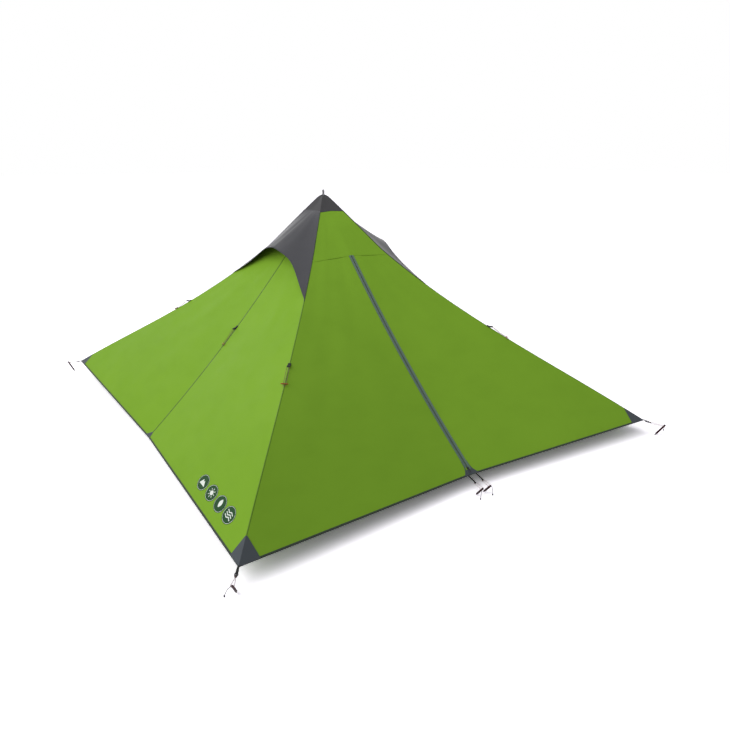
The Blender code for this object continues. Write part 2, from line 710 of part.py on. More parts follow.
class Stake:
    """A point of the hem, the peg that holds it, and the straight pull between the two."""

    def __init__(self, name, origin, out, tip_out, tilt):
        self.name = name
        out = out.normalized()
        self.frame = frame_matrix(origin, out, UP.cross(out), UP)
        tilt = math.radians(tilt)
        self.axis = Vector((math.cos(tilt), 0, math.sin(tilt)))
        self.behind = Vector((math.sin(tilt), 0, -math.cos(tilt)))
        self.tip = Vector((tip_out, 0, PEG_POINT_SHARE * PEG_FIN * math.cos(tilt) - origin.z))
        self.neck = self.tip + self.axis * (PEG_LENGTH - PEG_NECK)
        self.start = Vector((STRAP_BEND, 0, STRAP_MIDDLE))
        self.pull = (self.neck - self.start).normalized()
        self.lift = Vector((-self.pull.z, 0, self.pull.x))
        self.fall = math.degrees(math.atan2(-self.pull.z, self.pull.x))

    def along(self, distance, height=0.0, aside=0.0):
        return self.start + self.pull * distance + self.lift * height + Vector((0, aside, 0))

    def peg_matrix(self):
        return self.frame @ frame_matrix(self.tip, self.behind, Vector((0, 1, 0)), self.axis)

    def to_world(self, points):
        return [self.frame @ point for point in points]

    def strap(self, heights, turn_at, turn_radius, back_to):
        """Side view of a strap: sewn on at heights, out to a turn and back under itself."""
        route = [(-distance, height + STRAP_MIDDLE) for distance, height in heights]
        centre = self.along(turn_at, -turn_radius)
        route.append((self.start.x, self.start.z))
        route += arc((centre.x, centre.z), turn_radius, 90 - self.fall, -90 - self.fall, 8)
        back = self.along(back_to, -2 * turn_radius)
        route.append((back.x, back.z))
        return band(route, WEB_THICKNESS)

    def peg_bend(self, steps=((-0.6, 1.0), (0.25, 0.86), (0.8, 0.45))):
        """The peg cord's way round the back of the peg, from its left side to its right side."""
        left = [self.neck + self.behind * (behind * CORD_BEHIND) + Vector((0, beside * CORD_BESIDE, 0))
                for behind, beside in steps]
        right = [Vector((point.x, -point.y, point.z)) for point in reversed(left)]
        return left + [self.neck + self.behind * CORD_BEHIND] + right


def corner_stake(name):
    side_x, side_y = CORNERS[name]
    origin = ridge_point(side_x, side_y, 1)
    tip_out = FRONT_LEFT_PEG_OUT if name == "front_left" else CORNER_PEG_OUT
    return Stake(name, origin, Vector((origin.x, origin.y, 0)), tip_out, CORNER_PEG_TILT)


def door_stake(side):
    v = FRONT.at(1, SIGNS[side] * DOOR_STRAP_X)
    out = Matrix.Rotation(math.radians(-DOOR_PEG_TURN), 3, "Z") @ FRONT.out
    return Stake(side, FRONT.point(1, v), out, DOOR_PEG_OUT, DOOR_PEG_TILT)


CORNER_STAKES = [corner_stake(name) for name in CORNERS]
DOOR_STAKES = [door_stake(side) for side in SIDES]


def corner_pieces():
    """Each corner patch has its strap sewn on."""
    for stake, (side_x, side_y) in zip(CORNER_STAKES, CORNERS.values()):
        patch = corner_patch(stake.name, side_x, side_y)
        heights = []
        for share in (1.0, 0.5, 0.0):
            sewn = WEB_SEWN * share
            heights.append((sewn, ridge_height(1 - level(sewn)) - CORNER_LIFT))
        outline = stake.strap(heights, CORNER_STRAP, BUCKLE_TURN, STRAP_RETURN)
        strap = prism(f"strap_{stake.name}", outline, WEB_WIDTH, GREY, stake.frame, CUTTERS)
        boolean(patch, strap, "UNION")
        buckle(stake)
        start = CORNER_STRAP + BUCKLE_EYE_AT
        over = BUCKLE_THICKNESS / 2 + CORD_GAP * 2 + PEG_CORD_RADIUS
        rim = BUCKLE_EYE + BUCKLE_RIM / 2
        loop = [stake.along(start + rim * 2.2, over - BUCKLE_TURN, over),
                stake.along(start + rim * 0.8, over - BUCKLE_TURN),
                stake.along(start, over * 0.75 - BUCKLE_TURN),
                stake.along(start - PEG_CORD_RADIUS / 2, -BUCKLE_TURN),
                stake.along(start, -over * 0.75 - BUCKLE_TURN),
                stake.along(start + rim * 0.8, -over - BUCKLE_TURN),
                stake.along(start + rim * 2.2, -over - BUCKLE_TURN, -over)]
        route = smooth(stake.to_world(loop + stake.peg_bend()[::-1]), CORD_STEP, True)
        tube(f"peg_cord_{stake.name}", route, PEG_CORD_RADIUS, CORD, True)


def buckle(stake):
    """A flat triangular buckle: the strap goes round its bar, the peg cord through its eye."""
    turn = Matrix.Rotation(math.radians(stake.fall), 4, "Y")
    place = stake.frame @ Matrix.Translation(stake.along(CORNER_STRAP, -BUCKLE_TURN)) @ turn
    bar = BUCKLE_BAR / 2
    window = WEB_WIDTH / 2 + LAYER_GAP
    window_end = bar + BUCKLE_WINDOW
    tip = BUCKLE_EYE_AT + BUCKLE_EYE + BUCKLE_RIM
    half = window + BUCKLE_RIM
    outline = rounded([(-bar, -half), (window_end, -half), (tip, -BUCKLE_TIP_HALF), (tip, BUCKLE_TIP_HALF),
                       (window_end, half), (-bar, half)], 0.0015, 2)
    slot = [(bar, -window), (window_end, -window), (window_end, window), (bar, window)]
    holes = [slot, circle(BUCKLE_EYE_AT, 0, BUCKLE_EYE)]
    plate(f"buckle_{stake.name}", [outline, *holes], BUCKLE_THICKNESS, PLASTIC, place)


def door_ties():
    for stake in DOOR_STAKES:
        heights = []
        for share in (1.0, 0.5, 0.0):
            sewn = WEB_SEWN * share
            s = 1 - sewn / FRONT.reach
            heights.append((sewn, FRONT.point(s, FRONT.at(s, DOOR_STRAP_X)).z - stake.frame.translation.z))
        turn = PEG_CORD_RADIUS + CORD_GAP * 3 + WEB_THICKNESS / 2
        outline = stake.strap(heights, DOOR_STRAP, turn, DOOR_STRAP - STRAP_RETURN)
        strap = prism(f"strap_{stake.name}", outline, WEB_WIDTH, GREY, stake.frame, CUTTERS)
        boolean(door_patch(stake.name), strap, "UNION")
        beside = WEB_WIDTH / 2 + CORD_GAP + PEG_CORD_RADIUS
        half = [stake.along(DOOR_STRAP, -turn), stake.along(DOOR_STRAP, -turn, beside * 0.75),
                stake.along(DOOR_STRAP + PEG_CORD_RADIUS * 2, -turn, beside * 1.05)]
        mirrored = [Vector((point.x, -point.y, point.z)) for point in half[1:]]
        loop = half + stake.peg_bend() + mirrored[::-1]
        route = smooth(stake.to_world(loop), CORD_STEP, True)
        tube(f"door_peg_cord_{stake.name}", route, PEG_CORD_RADIUS, CORD, True)


def peg_piece(name, stake):
    """A peg of Y section with a point, a notch for its cord and a hole near its head."""
    outline = []
    for arm in range(3):
        turn = Matrix.Rotation(math.tau * arm / 3, 3, "Z")
        outline.append(turn @ Vector((PEG_FIN, -PEG_WALL / 2, 0)))
        outline.append(turn @ Vector((PEG_FIN, PEG_WALL / 2, 0)))
        outline.append(turn @ (Vector((0.5, math.sqrt(0.75), 0)) * (PEG_WALL / math.sqrt(3))))
    bm = bmesh.new()
    middle = bm.faces.new([bm.verts.new(point + Vector((0, 0, PEG_POINT))) for point in outline])
    for height, share in ((PEG_LENGTH, 1.0), (0.0, PEG_POINT_SHARE)):
        copy = bmesh.ops.extrude_face_region(bm, geom=[middle])
        moved = [part for part in copy["geom"] if isinstance(part, bmesh.types.BMVert)]
        bmesh.ops.scale(bm, verts=moved, vec=(share, share, 1))
        bmesh.ops.translate(bm, verts=moved, vec=(0, 0, height - PEG_POINT))
    bm.faces.remove(middle)
    place = stake.peg_matrix()
    peg = mesh_object(name, bm, PEG, place)
    low = PEG_LENGTH - PEG_NECK - PEG_CORD_RADIUS - CORD_GAP * 2
    high = PEG_LENGTH - PEG_NECK + PEG_CORD_RADIUS + CORD_GAP * 2
    notch = box(f"{name}_notch", (PEG_FIN - PEG_NOTCH, -PEG_FIN, low), (PEG_FIN * 2, PEG_FIN, high), PEG,
                place, CUTTERS)
    turn = Matrix.Translation((PULL_HOLE_AT, 0, PEG_LENGTH - PULL_NECK)) @ Matrix.Rotation(
        math.radians(90), 4, "X")
    hole = cylinder(f"{name}_hole", PULL_HOLE, -PEG_WALL * 2, PEG_WALL * 2, PEG, place @ turn, CUTTERS, 8)
    boolean(peg, notch, "DIFFERENCE")
    boolean(peg, hole, "DIFFERENCE")
    return peg


# Guy points
def seam_frame(place, start):
    """X down the seam from a guy point, Z off the cloth, from a function of plan distance."""
    first = place(start)
    run = 0.0
    end = start
    while run < GUY_LINE + GUY_BIGHT:
        end += 0.002
        run = (place(end) - first).length
    down = (place(end) - first).normalized()
    side = UP.cross(down).normalized()
    return frame_matrix(first, down, side, down.cross(side))


def guy_points():
    points = {}
    for name, (side_x, side_y) in CORNERS.items():
        reach = FRONT_GUY_REACH if side_y < 0 else BACK_GUY_REACH

        def place(distance, side_x=side_x, side_y=side_y):
            return ridge_point(side_x, side_y, level(distance))
        points[name] = (seam_frame(place, reach), GUY_CORD_LIFT)
    for side, face in SIDES.items():
        def place(distance, face=face):
            return face.point(distance / face.reach, 0)
        points[side] = (seam_frame(place, SIDE_GUY_REACH), SEAM_CORD_LIFT)
    return points


GUY_ROOT = LAYER_GAP + WEB_THICKNESS / 2


def guy_eye():
    """Middle of the webbing loop's end, in a guy point's X and Z."""
    pitch = math.radians(GUY_LOOP_PITCH)
    return GUY_LOOP * math.cos(pitch), GUY_ROOT + GUY_LOOP * math.sin(pitch)


def guy_pieces():
    for name, (frame, lift) in guy_points().items():
        eye = guy_eye()
        beside = RUNNER_PITCH / 2
        level_from = GUY_LINE - RUNNER_TRAVEL - RUNNER_THICKNESS * 2
        half = [(eye[0], beside * 0.6, eye[1]), (eye[0] + 0.002, beside * 0.95, eye[1] - 0.0004),
                (blend(eye[0], level_from, 0.5), beside, blend(eye[1], lift, 0.55)),
                (level_from, beside, lift), (GUY_LINE, beside, lift),
                (GUY_LINE + GUY_BIGHT * 0.55, beside, lift),
                (GUY_LINE + GUY_BIGHT * 0.9, beside * 0.55, lift)]
        mirrored = [(x, -y, z) for x, y, z in reversed(half)]
        route = smooth(half + mirrored, CORD_STEP * 2, True)
        tube(f"guy_cord_{name}", [frame @ point for point in route], GUY_CORD_RADIUS, CORD, True)
        down, side, off = (Vector(frame.col[index][:3]) for index in range(3))
        middle = frame @ Vector((GUY_LINE, 0, lift))
        half_length = RUNNER_LENGTH / 2
        half_height = RUNNER_HEIGHT / 2
        outline = rounded([(-half_length, -half_height), (half_length, -half_height),
                           (half_length, half_height), (-half_length, half_height)], RUNNER_ROUND, 2)
        holes = [circle(sign * beside, 0, GUY_CORD_RADIUS + RUNNER_PLAY, 8) for sign in (-1, 1)]
        plate(f"guy_runner_{name}", [outline, *holes], RUNNER_THICKNESS, RED,
              frame_matrix(middle, side, off, down))


def apex_loop():
    """An upright loop of webbing with its two feet spread on the cap."""
    top = APEX_TOP + APEX_LOOP_HEIGHT
    half = APEX_LOOP_HALF
    foot = half + APEX_FOOT
    under = LAYER_GAP + WEB_THICKNESS
    foot_end, bend = ((x, max(cap_height(x, 0), cap_height(x, WEB_WIDTH / 2)) + under) for x in (foot, half))
    right = [foot_end, bend] + arc((0, top - half), half, 0, 90, 4)
    left = [(-x, z) for x, z in reversed(right[:-1])]
    prism("apex_loop", band(right + left, WEB_THICKNESS), WEB_WIDTH, WEBBING)


def cap_height(x, y):
    """Height of the cap's outer side at distances to the left and to the front of the pole axis."""
    face, out, across = (LEFT, x, y) if x / HALF_WIDTH > y / HALF_DEPTH else (FRONT, y, x)
    s = (out - face.bow * across / face.half_across) / face.reach
    return cap_point(face, s, face.at(s, across)).z


# Pole
UPPER_BORE = LOWER_RADIUS + POLE_PLAY
CLAMP_BORE = UPPER_RADIUS + SEAM_GAP
CLAMP_OUTER = CLAMP_BORE + CLAMP_WALL
PIVOT_AT = CLAMP_OUTER + LUG_RADIUS + SEAM_GAP * 2


def pole():
    tip_top = APEX_TOP - CLOTH - TIP_GAP
    ball = TIP_RADIUS
    ball_middle = tip_top - ball
    steps = [math.radians(90 - 90 * step / 5) for step in range(6)]
    dome = [(ball * math.cos(angle), ball_middle + ball * math.sin(angle)) for angle in steps]
    shank = UPPER_BORE - SEAM_GAP
    tip_base = ball_middle - TIP_COLLAR
    dome[0] = (0, tip_top)
    profile = dome + [(ball, tip_base), (shank, tip_base), (shank, tip_base - TIP_SHANK), (0, tip_base - TIP_SHANK)]
    turned("pole_tip", profile, 16, RUBBER)
    top = tip_base - SEAM_GAP
    tube_piece("pole_upper", CLAMP_HEIGHT, top, UPPER_BORE, UPPER_RADIUS)
    inner = LOWER_RADIUS - TUBE_WALL
    tube_piece("pole_lower", FOOT_SOLE + SEAM_GAP, CLAMP_HEIGHT + POLE_OVERLAP, inner, LOWER_RADIUS)
    bore = LOWER_RADIUS + SEAM_GAP
    neck = bore + FOOT_WALL
    turned("pole_foot", [(0, FOOT_SOLE), (bore, FOOT_SOLE), (bore, FOOT_HEIGHT), (neck, FOOT_HEIGHT),
                         (neck, FOOT_SOLE * 1.6), (FOOT_RADIUS, FOOT_SOLE * 0.6), (FOOT_RADIUS, 0), (0, 0)],
           20, RUBBER)


def tube_piece(name, low, high, inner, outer):
    turned(name, [(outer, high), (outer, low), (inner, low), (inner, high)], 20, POLE)


def pole_clamp():
    """A collar on the end of the upper tube, and a lever that squeezes it onto the lower tube."""
    half = CLAMP_LENGTH / 2
    grip = LOWER_RADIUS + SEAM_GAP
    step = CLAMP_HEIGHT - SEAM_GAP
    clamp = turned("pole_clamp", [(CLAMP_OUTER, CLAMP_HEIGHT + half), (CLAMP_OUTER, CLAMP_HEIGHT - half),
                                  (grip, CLAMP_HEIGHT - half), (grip, step), (CLAMP_BORE, step),
                                  (CLAMP_BORE, CLAMP_HEIGHT + half)], 20, PLASTIC)
    inside = CLAMP_OUTER - CLAMP_WALL / 2
    lever_half = LEVER_HEIGHT / 2
    for side, sign in (("low", -1), ("high", 1)):
        near = CLAMP_HEIGHT + sign * (lever_half + SEAM_GAP)
        far = CLAMP_HEIGHT + sign * (half - SEAM_GAP)
        low, high = min(near, far), max(near, far)
        tools = [box(f"lug_{side}", (inside, -LUG_RADIUS, low), (PIVOT_AT, LUG_RADIUS, high), PLASTIC, None,
                     CUTTERS),
                 cylinder(f"lug_end_{side}", LUG_RADIUS, low + 0.0001, high - 0.0001, PLASTIC,
                          Matrix.Translation((PIVOT_AT, 0, 0)), CUTTERS, 14)]
        for tool in tools:
            boolean(clamp, tool, "UNION")
    reach = half - SEAM_GAP * 4
    pin = cylinder("clamp_pin", PIVOT_RADIUS, CLAMP_HEIGHT - reach, CLAMP_HEIGHT + reach, PLASTIC,
                   Matrix.Translation((PIVOT_AT, 0, 0)), CUTTERS, 10)
    boolean(clamp, pin, "UNION")


def clamp_lever():
    """A curved lever that hugs the collar when it is shut."""
    inner = CLAMP_OUTER + LEVER_PLAY
    middle = inner + LEVER_THICKNESS / 2
    start = (PIVOT_AT, LEVER_THICKNESS * 0.2)
    route = [start] + arc((0, 0), middle, LEVER_START, LEVER_TURN, 10)
    flat = Matrix.Translation((0, 0, CLAMP_HEIGHT)) @ Matrix.Rotation(math.radians(-90), 4, "X")
    outline = [(x, -z) for x, z in band(route, LEVER_THICKNESS)]
    lever = prism("clamp_lever", [(x, -z) for x, z in outline], LEVER_HEIGHT, RED, flat)
    half = LEVER_HEIGHT / 2 - 0.0001
    pivot = Matrix.Translation((PIVOT_AT, 0, CLAMP_HEIGHT))
    boolean(lever, cylinder("lever_eye", LUG_RADIUS - SEAM_GAP, -half, half, RED, pivot, CUTTERS, 14), "UNION")
    hole = PIVOT_RADIUS + SEAM_GAP
    boolean(lever, cylinder("lever_hole", hole, -half * 2, half * 2, RED, pivot, CUTTERS, 10), "DIFFERENCE")


# Joint axes
def axis_empty(name, place, axis, carried):
    """An empty with its Z along a joint's axis, which carries the named pieces."""
    empty = bpy.data.objects.new(name, None)
    PARTS.objects.link(empty)
    turn = Vector(axis).to_track_quat("Z", "X").to_matrix().to_4x4()
    empty.matrix_world = Matrix.Translation(place) @ turn
    empty.empty_display_size = 0.05
    for piece in carried:
        obj = bpy.data.objects[piece]
        obj.parent = empty
        obj.matrix_parent_inverse = empty.matrix_world.inverted()
    return empty


def joint_axes():
    for side, sign in SIGNS.items():
        top = FRONT.point(YOKE, sign * FRONT.at(YOKE, FOLD_TOP), HINGE_LIFT)
        hem = FRONT.point(1, sign * FRONT.at(1, FOLD_HEM), HINGE_LIFT)
        names = ("door", "zip_tape", "door_patch", "door_peg_cord", "door_peg")
        axis_empty(f"door_fold_{side}", top, (hem - top) * sign, [f"{name}_{side}" for name in names])
    centre = FRONT.out * FRONT.arc_out + UP * (FRONT.arc_height + LAYER_GAP + TRIM / 2)
    axis_empty("zip_travel", centre, (1, 0, 0), ["zip_slider"])
    axis_empty("lever_pivot", (PIVOT_AT, 0, CLAMP_HEIGHT), (0, 0, -1), ["clamp_lever"])
    axis_empty("pole_extension", (0, 0, 0), (0, 0, 1), ["pole_lower", "pole_foot"])


front_pieces()
side_and_back_pieces()
apex_cap()
vent_hoods()
zip_tapes()
zip_slider()
zip_puller()
corner_pieces()
door_ties()
for stake in CORNER_STAKES:
    peg_piece(f"peg_{stake.name}", stake)
for stake in DOOR_STAKES:
    peg_piece(f"door_peg_{stake.name}", stake)
guy_pieces()
apex_loop()
pole()
pole_clamp()
clamp_lever()
joint_axes()
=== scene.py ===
"""Looks of the trekking tent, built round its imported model. Lengths are in metres."""
import json
import math

import bpy
import bmesh
import numpy as np
from mathutils import Matrix, Vector


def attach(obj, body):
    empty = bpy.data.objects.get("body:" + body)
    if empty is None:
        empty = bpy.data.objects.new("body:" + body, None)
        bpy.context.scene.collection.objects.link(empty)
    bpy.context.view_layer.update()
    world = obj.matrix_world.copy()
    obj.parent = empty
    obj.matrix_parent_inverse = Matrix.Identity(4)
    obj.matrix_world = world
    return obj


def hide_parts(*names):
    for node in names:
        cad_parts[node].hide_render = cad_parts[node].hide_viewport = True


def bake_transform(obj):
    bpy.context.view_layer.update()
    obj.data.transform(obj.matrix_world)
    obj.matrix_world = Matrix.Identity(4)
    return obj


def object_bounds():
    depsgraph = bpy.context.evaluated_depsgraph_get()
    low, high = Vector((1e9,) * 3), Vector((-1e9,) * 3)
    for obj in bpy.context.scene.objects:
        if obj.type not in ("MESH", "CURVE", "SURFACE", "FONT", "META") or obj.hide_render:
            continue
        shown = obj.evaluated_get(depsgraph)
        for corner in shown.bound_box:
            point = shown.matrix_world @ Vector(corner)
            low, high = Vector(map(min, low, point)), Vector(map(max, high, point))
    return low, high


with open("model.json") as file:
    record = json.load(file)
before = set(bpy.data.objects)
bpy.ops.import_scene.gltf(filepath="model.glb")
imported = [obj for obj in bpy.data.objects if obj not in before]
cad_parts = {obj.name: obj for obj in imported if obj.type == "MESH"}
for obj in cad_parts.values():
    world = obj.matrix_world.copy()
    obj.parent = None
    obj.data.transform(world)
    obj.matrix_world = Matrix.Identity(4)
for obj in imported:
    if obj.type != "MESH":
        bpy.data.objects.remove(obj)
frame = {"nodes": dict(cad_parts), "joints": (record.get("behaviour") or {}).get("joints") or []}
CAD_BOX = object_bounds()
UP = Vector((0, 0, 1))

# Canopy, as in the part's source
HALF_WIDTH = 1.525
HALF_DEPTH = 1.815
CORNER_REACH = math.hypot(HALF_WIDTH, HALF_DEPTH)
APEX_HEIGHT = 1.612
CORNER_LIFT = 0.105
RIDGE_SAG = 0.52
RIDGE_FLARE = 0.411
RIDGE_BULGE = 0.024
CENTRE_BULGE = 0.010
BULGE_REACH = 0.474
BULGE_START = 0.026
LAYER_GAP = 0.0009
TRIM = 0.0010
SOLID_CLOTH = 0.0015
SEAM_GAP = 0.0003
SLOT = 0.008
TAPE_HALF = 0.0195
TAPE_EDGE = 0.0013
WEB_WIDTH = 0.012
WEB = 0.0012
CORD_RADIUS = 0.00125

# Cloth of the looks alone
CLOTH = 0.0008
SLACK = 0.0045
SLACK_WAVE = 0.0014
TRIM_TOP = LAYER_GAP + TRIM
TRIM_CLOTH = TRIM * 0.9


def level(reach):
    return reach / CORNER_REACH


PANEL_TOP = level(0.071)
CAP_EDGE = level(0.155)
VENT_EDGE = level(0.45)
YOKE = level(0.52)
HOOD_TIP = level(0.775)
HOOD_MID = level(0.508)
HOOD_RISE = {"left": 0.124, "right": 0.171}
HOOD_PITCH = math.radians(20.6)
RISE_BEND = 0.33
RIM_BEND = 0.65
BEND_SOFTNESS = 0.2


def mix(start, end, share):
    return start + (end - start) * share


def circle(count):
    turns = [math.tau * step / count for step in range(count)]
    return [(math.cos(turn), math.sin(turn)) for turn in turns]


def bulge(s, height):
    """What the pole's tip adds to the canopy's height round the apex."""
    share = min(1.0, s / level(BULGE_REACH))
    return height * (1 - math.exp(-s / level(BULGE_START))) * (1 - share ** 4) ** 2


def ridge_height(s):
    rise = APEX_HEIGHT - CORNER_LIFT
    straight = CORNER_LIFT + rise * (1 - s) * (1 - RIDGE_SAG * s + RIDGE_FLARE * s * s)
    return straight + bulge(s, RIDGE_BULGE)


class Face:
    """One face of the canopy: level lines run from its centre line to the ridge on either side.

    s is 0 at the apex and 1 at the hem, v is 0 on the centre line and -1 or 1 on a ridge.
    """

    def __init__(self, out, across, half_out, half_across, bow, hem_height, sag):
        self.out = Vector(out)
        self.across = Vector(across)
        self.half_across = half_across
        self.bow = bow
        self.reach = half_out - bow
        drop = APEX_HEIGHT - hem_height
        self.length = math.hypot(self.reach, drop)
        self.radius = self.length ** 2 / (8 * sag) + sag / 2
        away = self.radius - sag
        self.arc_out = self.reach / 2 + drop / self.length * away
        self.arc_height = (APEX_HEIGHT + hem_height) / 2 + self.reach / self.length * away
        self.tilt = math.atan2(drop, self.reach)
        self.normal = (self.out * math.sin(self.tilt) + UP * math.cos(self.tilt)).normalized()

    def centre_height(self, s):
        aside = s * self.reach - self.arc_out
        return self.arc_height - math.sqrt(self.radius ** 2 - aside ** 2) + bulge(s, CENTRE_BULGE)

    def point(self, s, v, lift=0.0):
        side = abs(v)
        out = s * (self.reach + self.bow * side)
        height = mix(self.centre_height(s), ridge_height(s), side)
        return self.out * out + self.across * (v * s * self.half_across) + UP * (height + lift)

    def edge(self, s):
        return 1 - 0.5 * SEAM_GAP * CORNER_REACH / (s * self.half_across * self.reach)

    def span(self, s, b):
        """v for a share b of the way across, from edge to edge."""
        return mix(-1, 1, b) * self.edge(s)

    def at(self, s, aside):
        return aside / (s * self.half_across)

    def slack(self, s, v):
        """How far the cloth hangs below its seams, between them."""
        side = abs(v)
        down = min(1.0, max(0.0, (s - CAP_EDGE) / (1 - CAP_EDGE)))
        free = max(0.0, 4 * side * (1 - side)) ** 0.8 * max(0.0, math.sin(math.pi * down)) ** 0.7
        way = 1.0 if v > 0 else 1.7
        waves = math.sin(11 * side + 9 * s + way) + 0.6 * math.sin(23 * side - 8 * s + 2 * way)
        return free * (SLACK + SLACK_WAVE * waves)

    def skin(self, s, v, lift=0.0):
        return self.point(s, v, lift - self.slack(s, v))


ENDS = {"half_out": HALF_DEPTH, "half_across": HALF_WIDTH, "bow": 0.108, "hem_height": 0.078, "sag": 0.066}
FLANKS = {"half_out": HALF_WIDTH, "half_across": HALF_DEPTH, "bow": 0.0915, "hem_height": 0.0255,
          "sag": 0.0585}
FRONT = Face((0, -1, 0), (1, 0, 0), **ENDS)
BACK = Face((0, 1, 0), (1, 0, 0), **ENDS)
LEFT = Face((-1, 0, 0), (0, 1, 0), **FLANKS)
RIGHT = Face((1, 0, 0), (0, 1, 0), **FLANKS)
FACES = {"front": FRONT, "back": BACK, "left": LEFT, "right": RIGHT}
SIDES = {"left": LEFT, "right": RIGHT}
PLAIN_HEMS = {"left": LEFT, "right": RIGHT, "back": BACK}
SIGNS = {"left": -1, "right": 1}
CORNERS = {"front_left": (-1, -1), "front_right": (1, -1), "back_left": (-1, 1), "back_right": (1, 1)}


def on_ridge(corner, s, aside, lift):
    """A point beside a ridge: on the front or back for a positive distance aside, else on a side."""
    side_x, side_y = corner
    if aside > 0:
        face, sign = FRONT if side_y < 0 else BACK, side_x
    else:
        face, sign = LEFT if side_x < 0 else RIGHT, side_y
    return face.point(s, sign * (1 - face.at(s, abs(aside))), lift)


def off_ridge(aside):
    """Keeps the middle of a strip on the side's face."""
    return aside if abs(aside) > 0.00001 else -0.00001


def frame_at(origin, x, y, z):
    return Matrix.Translation(origin) @ Matrix((x, y, z)).transposed().to_4x4()


# Materials: colours are those of the screen, from 0 to 255
RIPSTOP_PITCH = 0.005
RIPSTOP_LINE = 0.16
WEAVE_PITCH = 0.0011
RIB_PITCH = 0.0011
STRAND_PITCH = 0.0017
TWILL_PITCH = 0.0012
COIL_PITCH = 0.0019
NET_PITCH = 0.0022
NET_THREAD = 0.3
STITCH_PITCH = 0.0036
STITCH_HALF = 0.00035
STITCH_DASH = 0.68
# Painted shade: the colour laid between a cord's strands
GROOVE_SHADE = (25.46, 21.96, 21.96)


def srgb(colour):
    """Linear colour of a screen colour."""
    def linear(value):
        value /= 255
        return value / 12.92 if value <= 0.04045 else ((value + 0.055) / 1.055) ** 2.4
    return (*map(linear, colour), 1)


def node(tree, kind, inputs=(), **settings):
    """A new node. Each of its inputs is given as a value or as the socket that feeds it."""
    made = tree.nodes.new(kind)
    for key, value in settings.items():
        setattr(made, key, value)
    for key, value in dict(inputs).items():
        if isinstance(value, bpy.types.NodeSocket):
            tree.links.new(value, made.inputs[key])
        else:
            made.inputs[key].default_value = value
    return made


class Finish:
    """A Principled material, with short ways to add the nodes that feed it."""

    def __init__(self, name, colour, roughness, **sockets):
        self.material = bpy.data.materials.new(name)
        self.material.use_nodes = True
        self.tree = self.material.node_tree
        self.shader = self.tree.nodes["Principled BSDF"]
        self.base = srgb(colour)
        self.normal = None
        sockets.update(Base_Color=self.base, Roughness=roughness)
        for socket, value in sockets.items():
            self.shader.inputs[socket.replace("_", " ")].default_value = value

    def feed(self, name, value):
        self.tree.links.new(value, self.shader.inputs[name])

    def add(self, kind, inputs=(), output=0, **settings):
        return node(self.tree, kind, inputs, **settings).outputs[output]

    def math(self, operation, *values):
        return self.add("ShaderNodeMath", enumerate(values), operation=operation)

    def times(self, value, factor):
        return self.math("MULTIPLY", value, factor)

    def sine(self, value, pitch):
        return self.math("SINE", self.times(value, math.tau / pitch))

    def fract(self, value, pitch):
        return self.math("FRACT", self.times(value, 1 / pitch))

    def place(self):
        """Distances across and along the piece, from its UV map."""
        spot = self.add("ShaderNodeTexCoord", output="UV")
        split = node(self.tree, "ShaderNodeSeparateXYZ", {"Vector": spot})
        return split.outputs["X"], split.outputs["Y"]

    def noise(self, scale, detail, stretch=None):
        spot = self.add("ShaderNodeTexCoord", output="Object")
        if stretch:
            spot = self.add("ShaderNodeMapping", {"Vector": spot, "Scale": stretch})
        return self.add("ShaderNodeTexNoise", {"Vector": spot, "Scale": scale, "Detail": detail}, "Fac")

    def ramp(self, value, low, high, start=0.0, end=1.0):
        return self.add("ShaderNodeMapRange", {"Value": value, "From Min": low, "From Max": high,
                                               "To Min": start, "To Max": end})

    def tint(self, share, colour):
        """Moves the base colour towards another one by a share that varies over the surface."""
        inputs = {0: share, 6: self.base, 7: srgb(colour)}
        self.base = self.add("ShaderNodeMix", inputs, 2, data_type="RGBA")
        self.feed("Base Color", self.base)

    def mottle(self, colour, share, scale, detail, low, high, stretch=None):
        """Soft patches of another colour."""
        self.tint(self.ramp(self.noise(scale, detail, stretch), low, high, 0, share), colour)

    def rough(self, value, low, high, start, end):
        self.feed("Roughness", self.ramp(value, low, high, start, end))

    def bump(self, height, distance, strength):
        inputs = {"Height": height, "Distance": distance, "Strength": strength}
        if self.normal:
            inputs["Normal"] = self.normal
        self.normal = self.add("ShaderNodeBump", inputs)
        self.feed("Normal", self.normal)

    def ripstop(self):
        """1 on a square grid of heavier threads, 0 between them."""
        lines = [self.math("LESS_THAN", self.fract(value, RIPSTOP_PITCH), RIPSTOP_LINE)
                 for value in self.place()]
        return self.math("MAXIMUM", *lines)

    def weave(self):
        """Over-and-under threads, from 0 to 1."""
        across, along = self.place()
        return self.ramp(self.times(self.sine(across, WEAVE_PITCH), self.sine(along, WEAVE_PITCH)), -1, 1)

    def stitch(self, rows, colour):
        """Dashed stitch lines at the given distances across the piece."""
        across, along = self.place()
        dash = self.math("LESS_THAN", self.fract(along, STITCH_PITCH), STITCH_DASH)
        found = 0.0
        for row in rows:
            near = self.math("ABSOLUTE", self.math("SUBTRACT", across, row))
            line = self.times(self.math("LESS_THAN", near, STITCH_HALF), dash)
            found = self.math("MAXIMUM", found, line)
        self.tint(found, colour)
        self.bump(found, 0.0003, 0.6)


